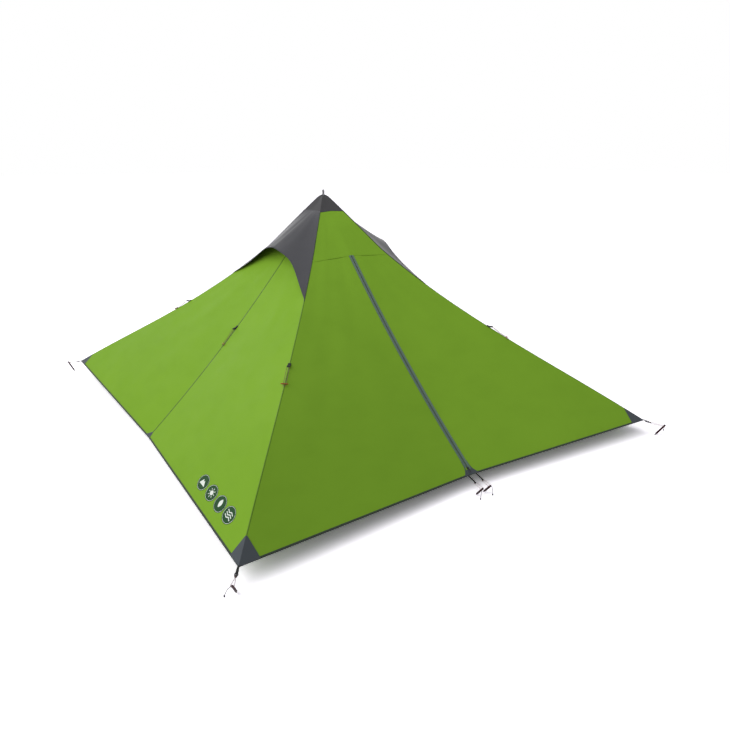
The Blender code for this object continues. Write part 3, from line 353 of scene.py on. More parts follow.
def cloth_finish(name, colour, light, dark, thread, stitching=None, **sockets):
    """Coated ripstop: fine squares, slow changes of colour and soft creases."""
    finish = Finish(name, colour, 0.5, **sockets)
    finish.mottle(light, 0.5, 1.6, 4, 0.35, 0.75)
    finish.mottle(dark, 0.35, 5.0, 5, 0.45, 0.8, (1, 1, 2.5))
    squares = finish.ripstop()
    finish.tint(finish.times(squares, 0.14), thread)
    finish.rough(finish.noise(9.0, 4), 0.3, 0.8, 0.42, 0.56)
    finish.bump(finish.noise(3.2, 3, (1, 1, 1.8)), 0.004, 0.35)
    finish.bump(finish.noise(26.0, 4), 0.0006, 0.25)
    finish.bump(finish.math("ADD", squares, finish.times(finish.weave(), 0.4)), 0.00006, 0.5)
    if stitching:
        finish.stitch(*stitching)
    return finish.material


def webbing_finish(name, colour, light):
    finish = Finish(name, colour, 0.75, Sheen_Weight=0.02, Specular_IOR_Level=0.25)
    across, along = finish.place()
    woven = finish.times(finish.sine(along, RIB_PITCH), finish.sine(across, STRAND_PITCH))
    woven = finish.ramp(woven, -1, 1)
    finish.tint(finish.times(woven, 0.45), light)
    finish.mottle(light, 0.4, 60, 4, 0.5, 0.8)
    finish.bump(woven, 0.00025, 0.7)
    return finish.material


def cord_finish(name, colour, fleck, pitch):
    """A braided sleeve: two sets of strands that cross, with a fleck on one of them, and painted shade
    between the strands.
    """
    finish = Finish(name, colour, 0.68, Sheen_Weight=0.2)
    turn, along = finish.place()
    rings = finish.times(along, math.tau / pitch)
    spokes = finish.times(turn, math.tau * 4)
    strands = [finish.math("SINE", finish.math(way, rings, spokes)) for way in ("ADD", "SUBTRACT")]
    braid = finish.ramp(finish.math("MAXIMUM", *strands), -0.2, 1)
    mark = finish.math("GREATER_THAN", finish.math("SINE", finish.times(rings, 0.25)), 0.6)
    finish.tint(finish.times(mark, 0.85), fleck)
    # Painted shade: darker towards the grooves between the strands
    finish.tint(finish.ramp(braid, 0, 1, 0.35, 0), GROOVE_SHADE)
    finish.bump(braid, 0.0002, 0.8)
    return finish.material


def plastic_finish(name, colour, worn, roughness=0.42):
    finish = Finish(name, colour, roughness, Specular_IOR_Level=0.4)
    finish.mottle(worn, 0.45, 140, 5, 0.52, 0.75)
    finish.rough(finish.noise(400, 3), 0.3, 0.7, roughness - 0.06, roughness + 0.12)
    finish.bump(finish.noise(2600, 2), 0.00004, 0.5)
    return finish.material


def metal_finish(name, colour, worn, roughness):
    finish = Finish(name, colour, roughness, Metallic=1.0)
    streaks = finish.noise(900, 3, (1, 1, 0.06))
    finish.tint(finish.ramp(streaks, 0.45, 0.8, 0, 0.35), worn)
    finish.mottle(worn, 0.5, 90, 5, 0.6, 0.72)
    finish.rough(streaks, 0.3, 0.7, roughness - 0.06, roughness + 0.1)
    finish.bump(streaks, 0.00003, 0.4)
    return finish.material


def print_finish(name, colour, second):
    finish = Finish(name, colour, 0.5, Specular_IOR_Level=0.1)
    finish.mottle(second, 0.35, 70, 5, 0.5, 0.8)
    finish.bump(finish.weave(), 0.00004, 0.5)
    return finish.material


def net_finish(name, colour, light):
    """Fine dark net: open cells between crossed threads."""
    finish = Finish(name, colour, 0.85)
    across, along = finish.place()
    threads = [finish.math("LESS_THAN", finish.fract(finish.math(way, across, along), NET_PITCH), NET_THREAD)
               for way in ("ADD", "SUBTRACT")]
    thread = finish.math("MAXIMUM", *threads)
    finish.tint(thread, light)
    finish.bump(thread, 0.0004, 0.8)
    return finish.material


def zip_finish(name, colour, light, thread):
    """Woven zip tape with stitch lines on each side."""
    finish = Finish(name, colour, 0.7)
    twill = finish.sine(finish.math("ADD", *finish.place()), TWILL_PITCH)
    finish.tint(finish.ramp(twill, -1, 1, 0, 0.3), light)
    finish.mottle(light, 0.4, 30, 4, 0.45, 0.8)
    finish.bump(twill, 0.00012, 0.6)
    finish.stitch((-0.0165, 0.0165, -0.0085, 0.0085), thread)
    return finish.material


def coil_finish(name, colour, light):
    finish = Finish(name, colour, 0.4)
    ribs = finish.sine(finish.place()[1], COIL_PITCH)
    finish.tint(finish.ramp(ribs, -1, 1, 0, 0.7), light)
    finish.bump(ribs, 0.0004, 0.9)
    return finish.material


GREEN = cloth_finish("green_ripstop", (120, 162, 46), (127, 169, 50), (112, 153, 42), (134, 175, 58),
                     Specular_IOR_Level=0.02)
GREEN_SEAM = cloth_finish("green_seam", (92, 128, 40), (100, 136, 44), (82, 116, 36), (106, 142, 50),
                          ((-0.0033, 0.0033), (66, 94, 30)), Specular_IOR_Level=0.08)
# Dark seam cloth, also used beside the hoods as a painted shadow line
DARK_SEAM_AND_SHADE = cloth_finish("dark_seam_and_shade", (60, 88, 30), (70, 100, 36), (50, 76, 26), (76, 106, 40),
                         ((-0.0028, 0.0028), (36, 56, 20)), Specular_IOR_Level=0.1)
GREY = cloth_finish("grey_ripstop", (58, 58, 62), (66, 66, 70), (50, 50, 54), (72, 72, 76),
                    Specular_IOR_Level=0.16, Sheen_Weight=0.42, Sheen_Roughness=0.35)
CAP_GREY = cloth_finish("cap_ripstop", (64, 63, 65), (72, 71, 73), (56, 55, 57), (78, 77, 80),
                        Specular_IOR_Level=0.08)
PATCH = cloth_finish("patch_cloth", (70, 75, 80), (78, 83, 88), (62, 67, 71), (86, 91, 97),
                     Specular_IOR_Level=0.1)
BINDING = webbing_finish("hem_binding", (40, 48, 40), (62, 70, 62))
HOOD_BINDING = webbing_finish("hood_binding", (52, 53, 57), (78, 79, 84))
NET = net_finish("vent_net", (26, 27, 27), (58, 60, 60))
TAPE = zip_finish("zip_tape", (72, 94, 82), (90, 112, 98), (118, 140, 128))
COIL = coil_finish("zip_coil", (30, 36, 34), (60, 68, 64))
BLACK_WEB = webbing_finish("black_webbing", (22, 23, 23), (44, 46, 46))
CORD = cord_finish("red_cord", (92, 34, 30), (128, 96, 88), 0.0024)
PULL = cord_finish("grey_cord", (58, 58, 60), (84, 84, 86), 0.0016)
BLACK = plastic_finish("black_plastic", (36, 36, 38), (70, 70, 72))
RUNNER = plastic_finish("runner_plastic", (146, 78, 26), (180, 112, 52))
PEG = metal_finish("peg_anodised", (34, 7, 10), (72, 28, 30), 0.34)
ALLOY = metal_finish("pole_alloy", (196, 198, 202), (150, 152, 156), 0.3)
RUBBER = plastic_finish("rubber", (34, 34, 34), (74, 72, 68), 0.82)
BADGE = print_finish("badge_green", (26, 66, 30), (36, 78, 40))
WHITE = print_finish("badge_white", (226, 232, 224), (204, 212, 202))


# Building
ROPE_SIDES = 10
WEB_ROUND = 0.0005


def place_in_scene(name, data):
    obj = bpy.data.objects.new(name, data)
    bpy.context.scene.collection.objects.link(obj)
    return obj


def add(name, data, material, body=None, slot=None, stands_for=()):
    obj = place_in_scene(name, data)
    data.materials.append(material)
    if body:
        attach(obj, body)
    if stands_for:
        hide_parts(*stands_for)
    return obj


def shaded(data, sharp):
    data.shade_smooth()
    data.set_sharp_from_angle(angle=math.radians(sharp))
    return data


def from_bmesh(name, bm):
    data = bpy.data.meshes.new(name)
    bm.to_mesh(data)
    bm.free()
    return data


def mesh(name, verts, faces, uvs, sharp):
    data = bpy.data.meshes.new(name)
    data.from_pydata(verts.tolist(), [], faces)
    bm = bmesh.new()
    bm.from_mesh(data)
    bmesh.ops.recalc_face_normals(bm, faces=bm.faces[:])
    bm.to_mesh(data)
    bm.free()
    layer = data.uv_layers.new(name="UVMap")
    corners = np.empty(len(data.loops), dtype=np.int32)
    data.loops.foreach_get("vertex_index", corners)
    layer.data.foreach_set("uv", np.asarray(uvs, dtype=np.float32)[corners].ravel())
    return shaded(data, sharp)


def cloth(name, surface, rows, cols, material, body="canopy", slot=None, stands_for=(), thickness=CLOTH,
          sharp=50):
    """A closed thin sheet. surface(a, b) is its outer side, for a down and b across from 0 to 1."""
    points = np.array([[surface(row / rows, col / cols) for col in range(cols + 1)]
                       for row in range(rows + 1)], dtype=float)
    normal = np.cross(np.gradient(points, axis=0), np.gradient(points, axis=1))
    normal /= np.linalg.norm(normal, axis=2, keepdims=True)
    if normal[..., 2].mean() < 0:
        normal = -normal
    inner = points - normal * thickness
    count = (rows + 1) * (cols + 1)
    index = np.arange(count).reshape(rows + 1, cols + 1)
    quads = np.stack([index[:-1, :-1], index[1:, :-1], index[1:, 1:], index[:-1, 1:]], -1).reshape(-1, 4)
    loop = np.concatenate([index[0, :-1], index[:-1, -1], index[-1, :0:-1], index[:0:-1, 0]])
    ahead = np.roll(loop, -1)
    rim = np.stack([ahead, loop, loop + count, ahead + count], -1)
    faces = np.concatenate([quads, quads[:, ::-1] + count, rim]).tolist()
    steps = np.linalg.norm(np.diff(points, axis=1), axis=2)
    across = np.concatenate([np.zeros((rows + 1, 1)), np.cumsum(steps, axis=1)], axis=1)
    across -= across[:, -1:] / 2
    drops = np.linalg.norm(np.diff(points[:, cols // 2], axis=0), axis=1)
    along = np.repeat(np.concatenate([[0], np.cumsum(drops)])[:, None], cols + 1, axis=1)
    uv = np.stack([across, along], -1).reshape(-1, 2)
    verts = np.concatenate([points.reshape(-1, 3), inner.reshape(-1, 3)])
    data = mesh(name, verts, faces, np.concatenate([uv, uv]), sharp)
    return add(name, data, material, body, slot, stands_for)


def loft(name, rings, material, body="canopy", slot=None, stands_for=(), closed=False, sharp=50, uvs=None):
    """A skin over rings of points, all with the same number of points, capped unless it is closed."""
    rings = np.asarray(rings, dtype=float)
    count, size = rings.shape[:2]
    index = np.arange(count * size).reshape(count, size)
    after = np.roll(index, -1, axis=1)
    if closed:
        index = np.concatenate([index, index[:1]])
        after = np.concatenate([after, after[:1]])
    faces = np.stack([index[:-1], after[:-1], after[1:], index[1:]], -1).reshape(-1, 4).tolist()
    if not closed:
        faces += [index[0].tolist(), index[-1][::-1].tolist()]
    if uvs is None:
        turn = np.tile(np.arange(size) / size, (count, 1))
        steps = np.linalg.norm(np.diff(rings.mean(axis=1), axis=0), axis=1)
        run = np.concatenate([[0], np.cumsum(steps)])
        uvs = np.stack([turn, np.repeat(run[:, None], size, axis=1)], -1)
    data = mesh(name, rings.reshape(-1, 3), faces, np.asarray(uvs).reshape(-1, 2), sharp)
    return add(name, data, material, body, slot, stands_for)


def smooth(points, spacing, closed=False):
    """Points about a spacing apart on a smooth curve through the given ones."""
    points = [Vector(point) for point in points]
    count = len(points)
    route = []
    for index in range(count if closed else count - 1):
        p1 = points[index]
        p2 = points[(index + 1) % count]
        p0 = points[index - 1] if index or closed else p1 * 2 - p2
        p3 = points[(index + 2) % count] if index + 2 < count or closed else p2 * 2 - p1
        steps = max(1, round((p2 - p1).length / spacing))
        for step in range(steps):
            t = step / steps
            route.append((p1 * 2 + (p2 - p0) * t + (p0 * 2 - p1 * 5 + p2 * 4 - p3) * t * t
                          + (p1 * 3 - p0 - p2 * 3 + p3) * t ** 3) / 2)
    if not closed:
        route.append(points[-1])
    return route


def rope(name, route, radius, material, body="canopy", slot=None, stands_for=(), closed=False):
    """A round cord along a route, without twist between its rings."""
    count = len(route)
    rings = []
    aside = None
    for index, here in enumerate(route):
        before = route[index - 1] if index or closed else here
        after = route[(index + 1) % count] if index + 1 < count or closed else here
        along = (after - before).normalized()
        if aside is None:
            aside = along.orthogonal().normalized()
        aside = (aside - along * aside.dot(along)).normalized()
        up = along.cross(aside)
        rings.append([here + (aside * x + up * y) * radius for x, y in circle(ROPE_SIDES)])
    return loft(name, rings, material, body, slot, stands_for, closed, 80)


def ribbon(name, route, across, width, thickness, body, slot, stands_for=()):
    """Black webbing with rounded edges along a route, flat along the direction across."""
    across = across.normalized()
    half, thin = width / 2, thickness / 2
    flat = half - WEB_ROUND
    profile = [(-flat, thin), (flat, thin), (half, thin * 0.3), (half, -thin * 0.3),
               (flat, -thin), (-flat, -thin), (-half, -thin * 0.3), (-half, thin * 0.3)]
    rings = []
    run = 0.0
    uvs = []
    for index, here in enumerate(route):
        before = (here - route[index - 1]).normalized() if index else None
        after = (route[index + 1] - here).normalized() if index + 1 < len(route) else None
        along = ((before or after) + (after or before)).normalized()
        off = along.cross(across).normalized()
        plain = (after or before).cross(across).normalized()
        stretch = max(0.5, off.dot(plain))
        if index:
            run += (here - route[index - 1]).length
        rings.append([here + across * x + off * (z / stretch) for x, z in profile])
        uvs.append([(x, run) for x, _ in profile])
    loft(name, rings, BLACK_WEB, body, slot, stands_for, uvs=uvs, sharp=40)


def lifted(place, a, b, height):
    """A point of the surface place(a, b), moved off it by a height."""
    step = 0.0004
    one = place(a + step, b) - place(a - step, b)
    two = place(a, b + step) - place(a, b - step)
    normal = one.cross(two).normalized()
    if normal.z < 0:
        normal = -normal
    return place(a, b) + normal * height


def binding(name, place, run, steps, width, material, body="canopy"):
    """A tape folded over an edge. place(d, b) is the surface at a distance d in from its edge."""
    low = -CLOTH - 0.0001
    profile = [(width, 0.0001), (width, 0.0005), (width * 0.5, 0.0006), (0.0004, 0.0006),
               (-0.0007, 0.0002), (-0.0009, low / 2), (-0.0007, low - 0.0002), (0.0004, low - 0.0006),
               (width, low - 0.0005), (width, low - 0.0001), (0.0002, low - 0.0001), (0.00005, low / 2),
               (0.0002, 0.0001)]
    rings = []
    uvs = []
    path = 0.0
    last = None
    for step in range(steps + 1):
        b = mix(*run, step / steps)
        middle = place(0, b)
        path += (middle - last).length if last else 0.0
        last = middle
        rings.append([lifted(place, d, b, height) for d, height in profile])
        uvs.append([(d - width / 2, path) for d, _ in profile])
    return loft(name, rings, material, body, uvs=uvs, sharp=40)


# Panels
BACK_EASE = 1.1
FOLD_TOP = 0.022
FOLD_BOTTOM = 0.75
FOLD_WIDTH = 0.035
FOLD_PAST = 0.006
DOOR_COLUMNS = (0, 14, 24, 50)
DOOR_SHARES = (0, 0.24, 0.38, 1)


def band(face, top, bottom, lift=None, ease=1.0):
    """A face's cloth from ridge to ridge between two levels, or a level surface if a lift is given."""
    def surface(a, b):
        s = mix(top, bottom, a ** ease)
        v = face.span(s, b)
        return face.skin(s, v) if lift is None else face.point(s, v, lift)
    return surface


def side_cloth(side, face):
    panel = cloth(f"panel_{side}", band(face, VENT_EDGE, 1), 64, 96, GREEN, "canopy", "canopy_green",
                  [f"side_panel_{side}"])
    mesh_band = band(face, PANEL_TOP, VENT_EDGE - SEAM_GAP / face.reach, 0.0)
    net = cloth(f"net_{side}", mesh_band, 12, 24, NET, "canopy", "vent_mesh", [f"vent_mesh_{side}"])


def back_cloth():
    panel = cloth("panel_back", band(BACK, PANEL_TOP, 1, ease=BACK_EASE), 72, 80, GREEN, "canopy",
                  "canopy_green", ["back_panel"])


def door_blend(obj, side):
    joint = next(row for row in frame["joints"] if row["name"] == f"door_{side}_fold")
    axis = Vector(joint["axis"]).normalized()
    start = Vector(joint["pos_m"])
    across = Vector((-SIGNS[side], 0, 0))
    across = (across - axis * across.dot(axis)).normalized()
    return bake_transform(obj)


def yoke_level(v):
    """Level of the seam across the front, which is straight in plan."""
    return YOKE * FRONT.reach / (FRONT.reach + FRONT.bow * abs(v))


def yoke_cloth():
    def panel(a, b):
        s = mix(PANEL_TOP, yoke_level(mix(-1, 1, b)) - SEAM_GAP / FRONT.reach, a)
        return FRONT.skin(s, FRONT.span(s, b))
    cloth("panel_yoke", panel, 16, 32, GREEN, "canopy", "canopy_green", ["front_yoke"])


def front_cloth(side, sign):
    """Front panel and door in one, with finer columns where the cloth bends round the fold."""
    def panel(a, b):
        column = b * DOOR_COLUMNS[-1]
        share = float(np.interp(column, DOOR_COLUMNS, DOOR_SHARES))
        s = mix(yoke_level(mix(FRONT.at(YOKE, SLOT), 1, share)), 1, a)
        fold = mix(FOLD_TOP, FOLD_BOTTOM, (s - YOKE) / (1 - YOKE))
        room = fold - SLOT
        inner = SLOT + room * max(0.3, 1 - FOLD_WIDTH * 1.15 / room)
        stops = (SLOT, inner, fold + FOLD_PAST, FRONT.edge(s) * s * HALF_WIDTH)
        aside = float(np.interp(column, DOOR_COLUMNS, stops))
        return FRONT.skin(s, sign * FRONT.at(s, aside))
    half = cloth(f"panel_front_{side}", panel, 72, DOOR_COLUMNS[-1], GREEN, None, "canopy_green",
                 [f"front_panel_{side}", f"door_{side}"])
    door_blend(half, side)


# Cap and hoods
CAP_ROWS = 14
CAP_COLS = 12
CAP_EASE = 1.6
CAP_HEM = 0.006
CAP_ROUND = level(0.0142)
CAP_SINK = 0.010
HOOD_LAYER = 0.0018
HOOD_RIPPLE = 0.0016
HOOD_HEM = 0.007
BATTEN_LEVEL = 0.97
BATTEN_RADIUS = 0.002
BATTEN_END = 34


def cap_point(face, s, v):
    share = (math.hypot(s, CAP_ROUND) - s) / CAP_ROUND * (1 - s / CAP_EDGE)
    return face.point(s, v, LAYER_GAP + SOLID_CLOTH - CAP_SINK * share)


def rounded(vert):
    return tuple(round(x, 7) for x in vert.co)


def cap():
    bm = bmesh.new()
    layer = bm.loops.layers.uv.new("UVMap")
    for face in FACES.values():
        levels = [CAP_EDGE * (row / CAP_ROWS) ** CAP_EASE for row in range(CAP_ROWS + 1)]
        verts = [[bm.verts.new(cap_point(face, s, 2 * col / CAP_COLS - 1)) for col in range(CAP_COLS + 1)]
                 for s in levels]
        for above, below in zip(verts, verts[1:]):
            for col in range(CAP_COLS):
                made = bm.faces.new([above[col], below[col], below[col + 1], above[col + 1]])
                for loop in made.loops:
                    place = loop.vert.co
                    loop[layer].uv = (place.dot(face.across), place.dot(face.out) / math.cos(face.tilt))
    bmesh.ops.remove_doubles(bm, verts=bm.verts[:], dist=0.00002)
    bmesh.ops.dissolve_degenerate(bm, edges=bm.edges[:], dist=0.00001)
    bmesh.ops.recalc_face_normals(bm, faces=bm.faces[:])
    if sum(made.normal.z for made in bm.faces) < 0:
        bmesh.ops.reverse_faces(bm, faces=bm.faces[:])
    bm.normal_update()
    normals = {rounded(vert): vert.normal.copy() for vert in bm.verts}
    sum(made.calc_area() for made in bm.faces)
    copy = bmesh.ops.extrude_face_region(bm, geom=bm.faces[:])
    for vert in copy["geom"]:
        if isinstance(vert, bmesh.types.BMVert):
            vert.co -= normals[rounded(vert)] * CLOTH
    bmesh.ops.recalc_face_normals(bm, faces=bm.faces[:])
    data = shaded(from_bmesh("cap", bm), 42)
    add("cap", data, CAP_GREY, "canopy", "cap_grey", ["apex_cap"])
    for name, face in FACES.items():
        def edge(d, b, face=face):
            return cap_point(face, CAP_EDGE - d / face.length, b)
        tape = GREY if name in SIDES else HOOD_BINDING
        binding(f"cap_hem_{name}", edge, (-0.995, 0.995), 16, CAP_HEM, tape)


def soft_bend(share, at):
    """From 0 to 1 as the share does: nearly level up to the bend and straight after it."""
    def ramp(past):
        return past + math.hypot(past, BEND_SOFTNESS)
    return (ramp(share - at) - ramp(-at)) / (ramp(1 - at) - ramp(-at))


def hood(side, face):
    held = face.out * math.cos(HOOD_PITCH) + UP * math.sin(HOOD_PITCH)

    def place(a, v):
        rim = mix(HOOD_MID, HOOD_TIP, soft_bend(abs(v), RIM_BEND))
        s = mix(CAP_EDGE + SEAM_GAP / face.reach, rim, a)
        rise = HOOD_RISE[side] * (1 - soft_bend(abs(v), RISE_BEND)) * a
        return face.point(s, v * face.edge(s), HOOD_LAYER + SOLID_CLOTH) + held * rise

    def surface(a, b):
        v = mix(-1, 1, b)
        ripple = math.sin(9 * v + 3 * a) * 0.5 + math.sin(17 * v - 2 * a + 1)
        loose = math.sin(math.pi * a) * (1 - abs(v)) ** 0.5
        return place(a, v) - face.normal * (HOOD_RIPPLE * loose * (1 + ripple * 0.6))

    def rim(d, b):
        slant = (place(1, b) - place(0.9, b)).length * 10
        return place(1 - d / slant, b)
    cloth(f"hood_{side}", surface, 26, 72, GREY, "canopy", "cap_grey", [f"vent_hood_{side}"])
    binding(f"hood_rim_{side}", rim, (-0.985, 0.985), 96, HOOD_HEM, HOOD_BINDING)
    under = SOLID_CLOTH + SEAM_GAP + BATTEN_RADIUS / math.cos(face.tilt)
    route = [place(BATTEN_LEVEL, v / 40) - UP * under for v in range(-BATTEN_END, BATTEN_END + 1)]
    rope(f"batten_{side}", route, BATTEN_RADIUS, BLACK, "canopy", "black_plastic", [f"hood_batten_{side}"])


# Seams, hems and patches
SEAM_TAPE = 0.0004
SEAM_TOP = 0.0008
SEAM_THINNING = 0.0004
RIDGE_SEAM = 0.0055
CENTRE_SEAM = 0.005
VENT_SEAM = 0.008
YOKE_SEAM = 0.0018
HOOD_TOP = 0.0040
HOOD_FADE = 0.97
HOOD_STRIP = (-0.004, 0.002)
# Painted shadow line: span of the dark strip beside the hood
HOOD_SHADE_STRIP = (0.0016, 0.0062)
HEM_TAPE = 0.012
PATCH_HEIGHT = 0.135
PATCH_TIP = 0.006
PATCH_HALF = 0.115
HEM_PATCH_TOP = 0.9755
HEM_PATCH_EDGES = ((-0.003, -0.024), (0.003, 0.060))


def seam_top(aside, half):
    """Height of a seam strip, which thins towards its edges."""
    return SEAM_TOP - SEAM_THINNING * (abs(aside) / half) ** 3


def corner_seams(name, corner):
    """Strips over the join of two faces: below the hood, along the hood and beside it, where a dark seam
    strip carries a painted shadow line.
    """
    def ridge(a, b):
        aside = mix(-RIDGE_SEAM, RIDGE_SEAM, b)
        s = mix(HOOD_TIP + 0.002, 1 - level(0.004), a)
        return on_ridge(corner, s, aside, seam_top(aside, RIDGE_SEAM))

    def hood_side(a, b):
        aside = mix(*HOOD_STRIP, b)
        lift = HOOD_TOP if aside <= 0 else mix(HOOD_TOP, 0.0005, (aside / HOOD_STRIP[1]) ** 0.8)
        if a > HOOD_FADE:
            lift = min(lift, mix(HOOD_TOP, 0.0012, (a - HOOD_FADE) / (1 - HOOD_FADE)))
        return on_ridge(corner, mix(CAP_EDGE - 0.001, HOOD_TIP + 0.004, a), off_ridge(aside), lift)

    # A seam strip beside the hood, made dark as painted shadow from the hood's edge
    def join(a, b):
        s = mix(CAP_EDGE + 0.001, HOOD_TIP + 0.006, a)
        return on_ridge(corner, s, mix(*HOOD_SHADE_STRIP, b), 0.0006)
    cloth(f"ridge_seam_{name}", ridge, 90, 8, GREEN_SEAM, slot="canopy_green", thickness=SEAM_TAPE, sharp=30)
    cloth(f"hood_seam_{name}", hood_side, 60, 6, GREY, thickness=SEAM_TAPE, sharp=30)
    cloth(f"hood_shade_strip_{name}", join, 60, 3, DARK_SEAM_AND_SHADE, slot="canopy_green", thickness=SEAM_TAPE)


def side_seams(side, face):
    def centre(a, b):
        s = mix(VENT_EDGE + 0.004, 0.996, a)
        aside = mix(-CENTRE_SEAM, CENTRE_SEAM, b)
        return face.point(s, face.at(s, aside), seam_top(aside, CENTRE_SEAM))
    cloth(f"centre_seam_{side}", centre, 60, 6, DARK_SEAM_AND_SHADE, slot="canopy_green", thickness=SEAM_TAPE)
    vent = band(face, VENT_EDGE - VENT_SEAM, VENT_EDGE + VENT_SEAM, SEAM_TOP)
    cloth(f"vent_seam_{side}", vent, 4, 40, HOOD_BINDING, thickness=0.0005)


def yoke_seam():
    def strip(a, b):
        s = yoke_level(mix(-1, 1, b)) + mix(-YOKE_SEAM, YOKE_SEAM, a)
        return FRONT.point(s, FRONT.span(s, b), 0.0005)
    cloth("yoke_seam", strip, 4, 40, GREEN, slot="canopy_green", thickness=0.0003)


def hem(name, face, run, steps=120, body="canopy"):
    def edge(d, b):
        return face.skin(1 - d / face.length, b)
    return binding(f"hem_{name}", edge, run, steps, HEM_TAPE, BINDING, body)


def plain_hem(name, face):
    hem(name, face, (-face.edge(1), face.edge(1)))


def front_hem(side, sign):
    run = (sign * FRONT.at(1, SLOT), sign * FRONT.edge(1))
    door_blend(hem(f"front_{side}", FRONT, run, 150, None), side)


def corner_patch(name, corner):
    def surface(a, b):
        s = mix(1 - level(PATCH_HEIGHT), 1, a)
        return on_ridge(corner, s, off_ridge((2 * b - 1) * mix(PATCH_TIP, PATCH_HALF, a)), TRIM_TOP)
    cloth(f"patch_{name}", surface, 20, 28, PATCH, "canopy", "cap_grey",
                    [f"corner_patch_{name}"], TRIM_CLOTH, 30)


def hem_patch(name, face):
    """A small patch in the middle of a hem that has no zip."""
    def surface(a, b):
        s = mix(HEM_PATCH_TOP, 1, a)
        start, end = (mix(*ends, a) for ends in HEM_PATCH_EDGES)
        aside = mix(start, end, b)
        return face.point(s, face.at(s, aside), TRIM_TOP)
    cloth(f"hem_patch_{name}", surface, 10, 14, PATCH, slot="cap_grey", thickness=TRIM_CLOTH)


# Zip
ZIP_PARK = 0.045
SLIDER_HALF = 0.007
SLIDER_NOSE = 0.012
SLIDER_GAP = 0.0007
COIL_STEPS = 240
COIL_HALF = 0.0010
COIL_THICK = 0.0005
COIL_LOW = TRIM_TOP + 0.0001
PLACKET_HALF = 0.025
PLACKET_DEPTH = 0.0046
DOOR_PATCH_LENGTH = 0.075
DOOR_PATCH_WIDTH = 0.060
ZIP_BASE = 0.036
ZIP_BASE_LIFT = {"left": 0.0002, "right": 0.0006}


def zip_level(distance):
    """Level at a distance above the hem, measured along the zip."""
    aside = FRONT.reach - FRONT.arc_out
    below = FRONT.arc_height - FRONT.centre_height(1)
    angle = math.atan2(below, aside) + distance / FRONT.radius
    return (FRONT.arc_out + FRONT.radius * math.cos(angle)) / FRONT.reach


def strip(sign, top, end, inner, outer, lift):
    """A band of the front between two levels and two distances from its centre line."""
    def surface(a, b):
        s = mix(top, end, a)
        return FRONT.point(s, sign * FRONT.at(s, mix(inner, outer, b)), lift)
    return surface


def zip_half(side, sign):
    """A tape with its row of coils. The left one ends above the parked slider."""
    parted = side == "left"
    end = zip_level(ZIP_PARK + SLIDER_HALF + SLIDER_GAP) if parted else 1.0
    coil_end = end if parted else zip_level(ZIP_PARK + SLIDER_NOSE)

    def coil_ring(s):
        places = [(TAPE_EDGE + COIL_HALF * (1 + x), COIL_LOW + COIL_THICK * y) for x, y in circle(8)]
        return [FRONT.point(s, sign * FRONT.at(s, aside), lift) for aside, lift in places]
    tape = strip(sign, YOKE, end, TAPE_EDGE, TAPE_HALF, TRIM_TOP)
    piece = cloth(f"tape_{side}", tape, 90, 8, TAPE, None, "zip_tape", [f"zip_tape_{side}"], TRIM_CLOTH)
    for corner in piece.data.uv_layers["UVMap"].data:
        corner.uv[0] += TAPE_HALF / 2 + TAPE_EDGE / 2
    door_blend(piece, side)
    rings = [coil_ring(mix(YOKE + 0.0005, coil_end, step / COIL_STEPS)) for step in range(COIL_STEPS + 1)]
    door_blend(loft(f"coil_{side}", rings, COIL, None, "black_plastic", sharp=80), side)


def placket():
    """The flap behind the zip."""
    surface = strip(1, YOKE + 0.001, 0.9985, -PLACKET_HALF, PLACKET_HALF, -PLACKET_DEPTH)
    flap = cloth("zip_placket", surface, 72, 10, TAPE, None, "zip_tape")
    door_blend(flap, "right")


def door_patch(side, sign):
    def surface(a, b):
        s = mix(1 - DOOR_PATCH_LENGTH / FRONT.reach, 1, a)
        inner = TAPE_HALF + SEAM_GAP
        outer = mix(inner + 0.002, DOOR_PATCH_WIDTH, a ** 3)
        return FRONT.point(s, sign * FRONT.at(s, mix(inner, outer, b)), TRIM_TOP)
    cloth(f"zip_patch_{side}", surface, 24, 10, PATCH, f"door_{side}", "cap_grey",
                    [f"door_patch_{side}"], TRIM_CLOTH)


def zip_base(side, sign):
    """Below the slider a tape is covered by the same grey cloth as the patch beside it."""
    lift = TRIM_TOP + ZIP_BASE_LIFT[side]
    cover = strip(sign, zip_level(ZIP_BASE), 0.9995, 0.0012, TAPE_HALF - 0.0004, lift)
    cloth(f"zip_base_{side}", cover, 14, 6, PATCH, f"door_{side}", "cap_grey", thickness=0.0003)


# Pegs, their straps and cords
PEG_LENGTH = 0.105
PEG_FIN = 0.007
PEG_NECK = 0.014
PEG_HOLE = 0.005
PEG_HOLE_BACK = 0.0045
PEG_HOLE_DEPTH = 0.0017
CORNER_PEG_TILT = 55
CORNER_PEG_OUT = 0.083
FRONT_LEFT_PEG_OUT = 0.043
CORNER_STRAP = 0.032
CORNER_STRAP_BACK = 0.010
CORNER_WEB = WEB * 1.8
DOOR_PEG_TILT = 48
DOOR_PEG_OUT = 0.088
DOOR_PEG_TURN = 10
DOOR_PEG_ASIDE = 0.030
DOOR_STRAP = 0.076
DOOR_STRAP_BACK = 0.066
STRAP_ROOT = 0.009
STRAP_SINK = 0.003
STRAP_MIDDLE = TRIM_TOP - 0.0004 + WEB / 2
BUCKLE_TURN = math.hypot(0.004, 0.003) / 2 + SEAM_GAP + WEB / 2
BUCKLE_EYE = 0.0145
BUCKLE_BAR = 0.0015
BUCKLE_RIM = 0.0039
CORD_BESIDE = PEG_FIN * math.sin(math.radians(60)) + 0.0009 + SEAM_GAP + CORD_RADIUS
CORD_BEHIND = PEG_FIN - 0.003 + SEAM_GAP + CORD_RADIUS
TURN_STEPS = 14
CORD_STEP = 0.0012
PULL_RADIUS = 0.0014
BEAD_RADIUS = 0.0042
BEAD_HALF = 0.0062
BEAD_STEPS = 8
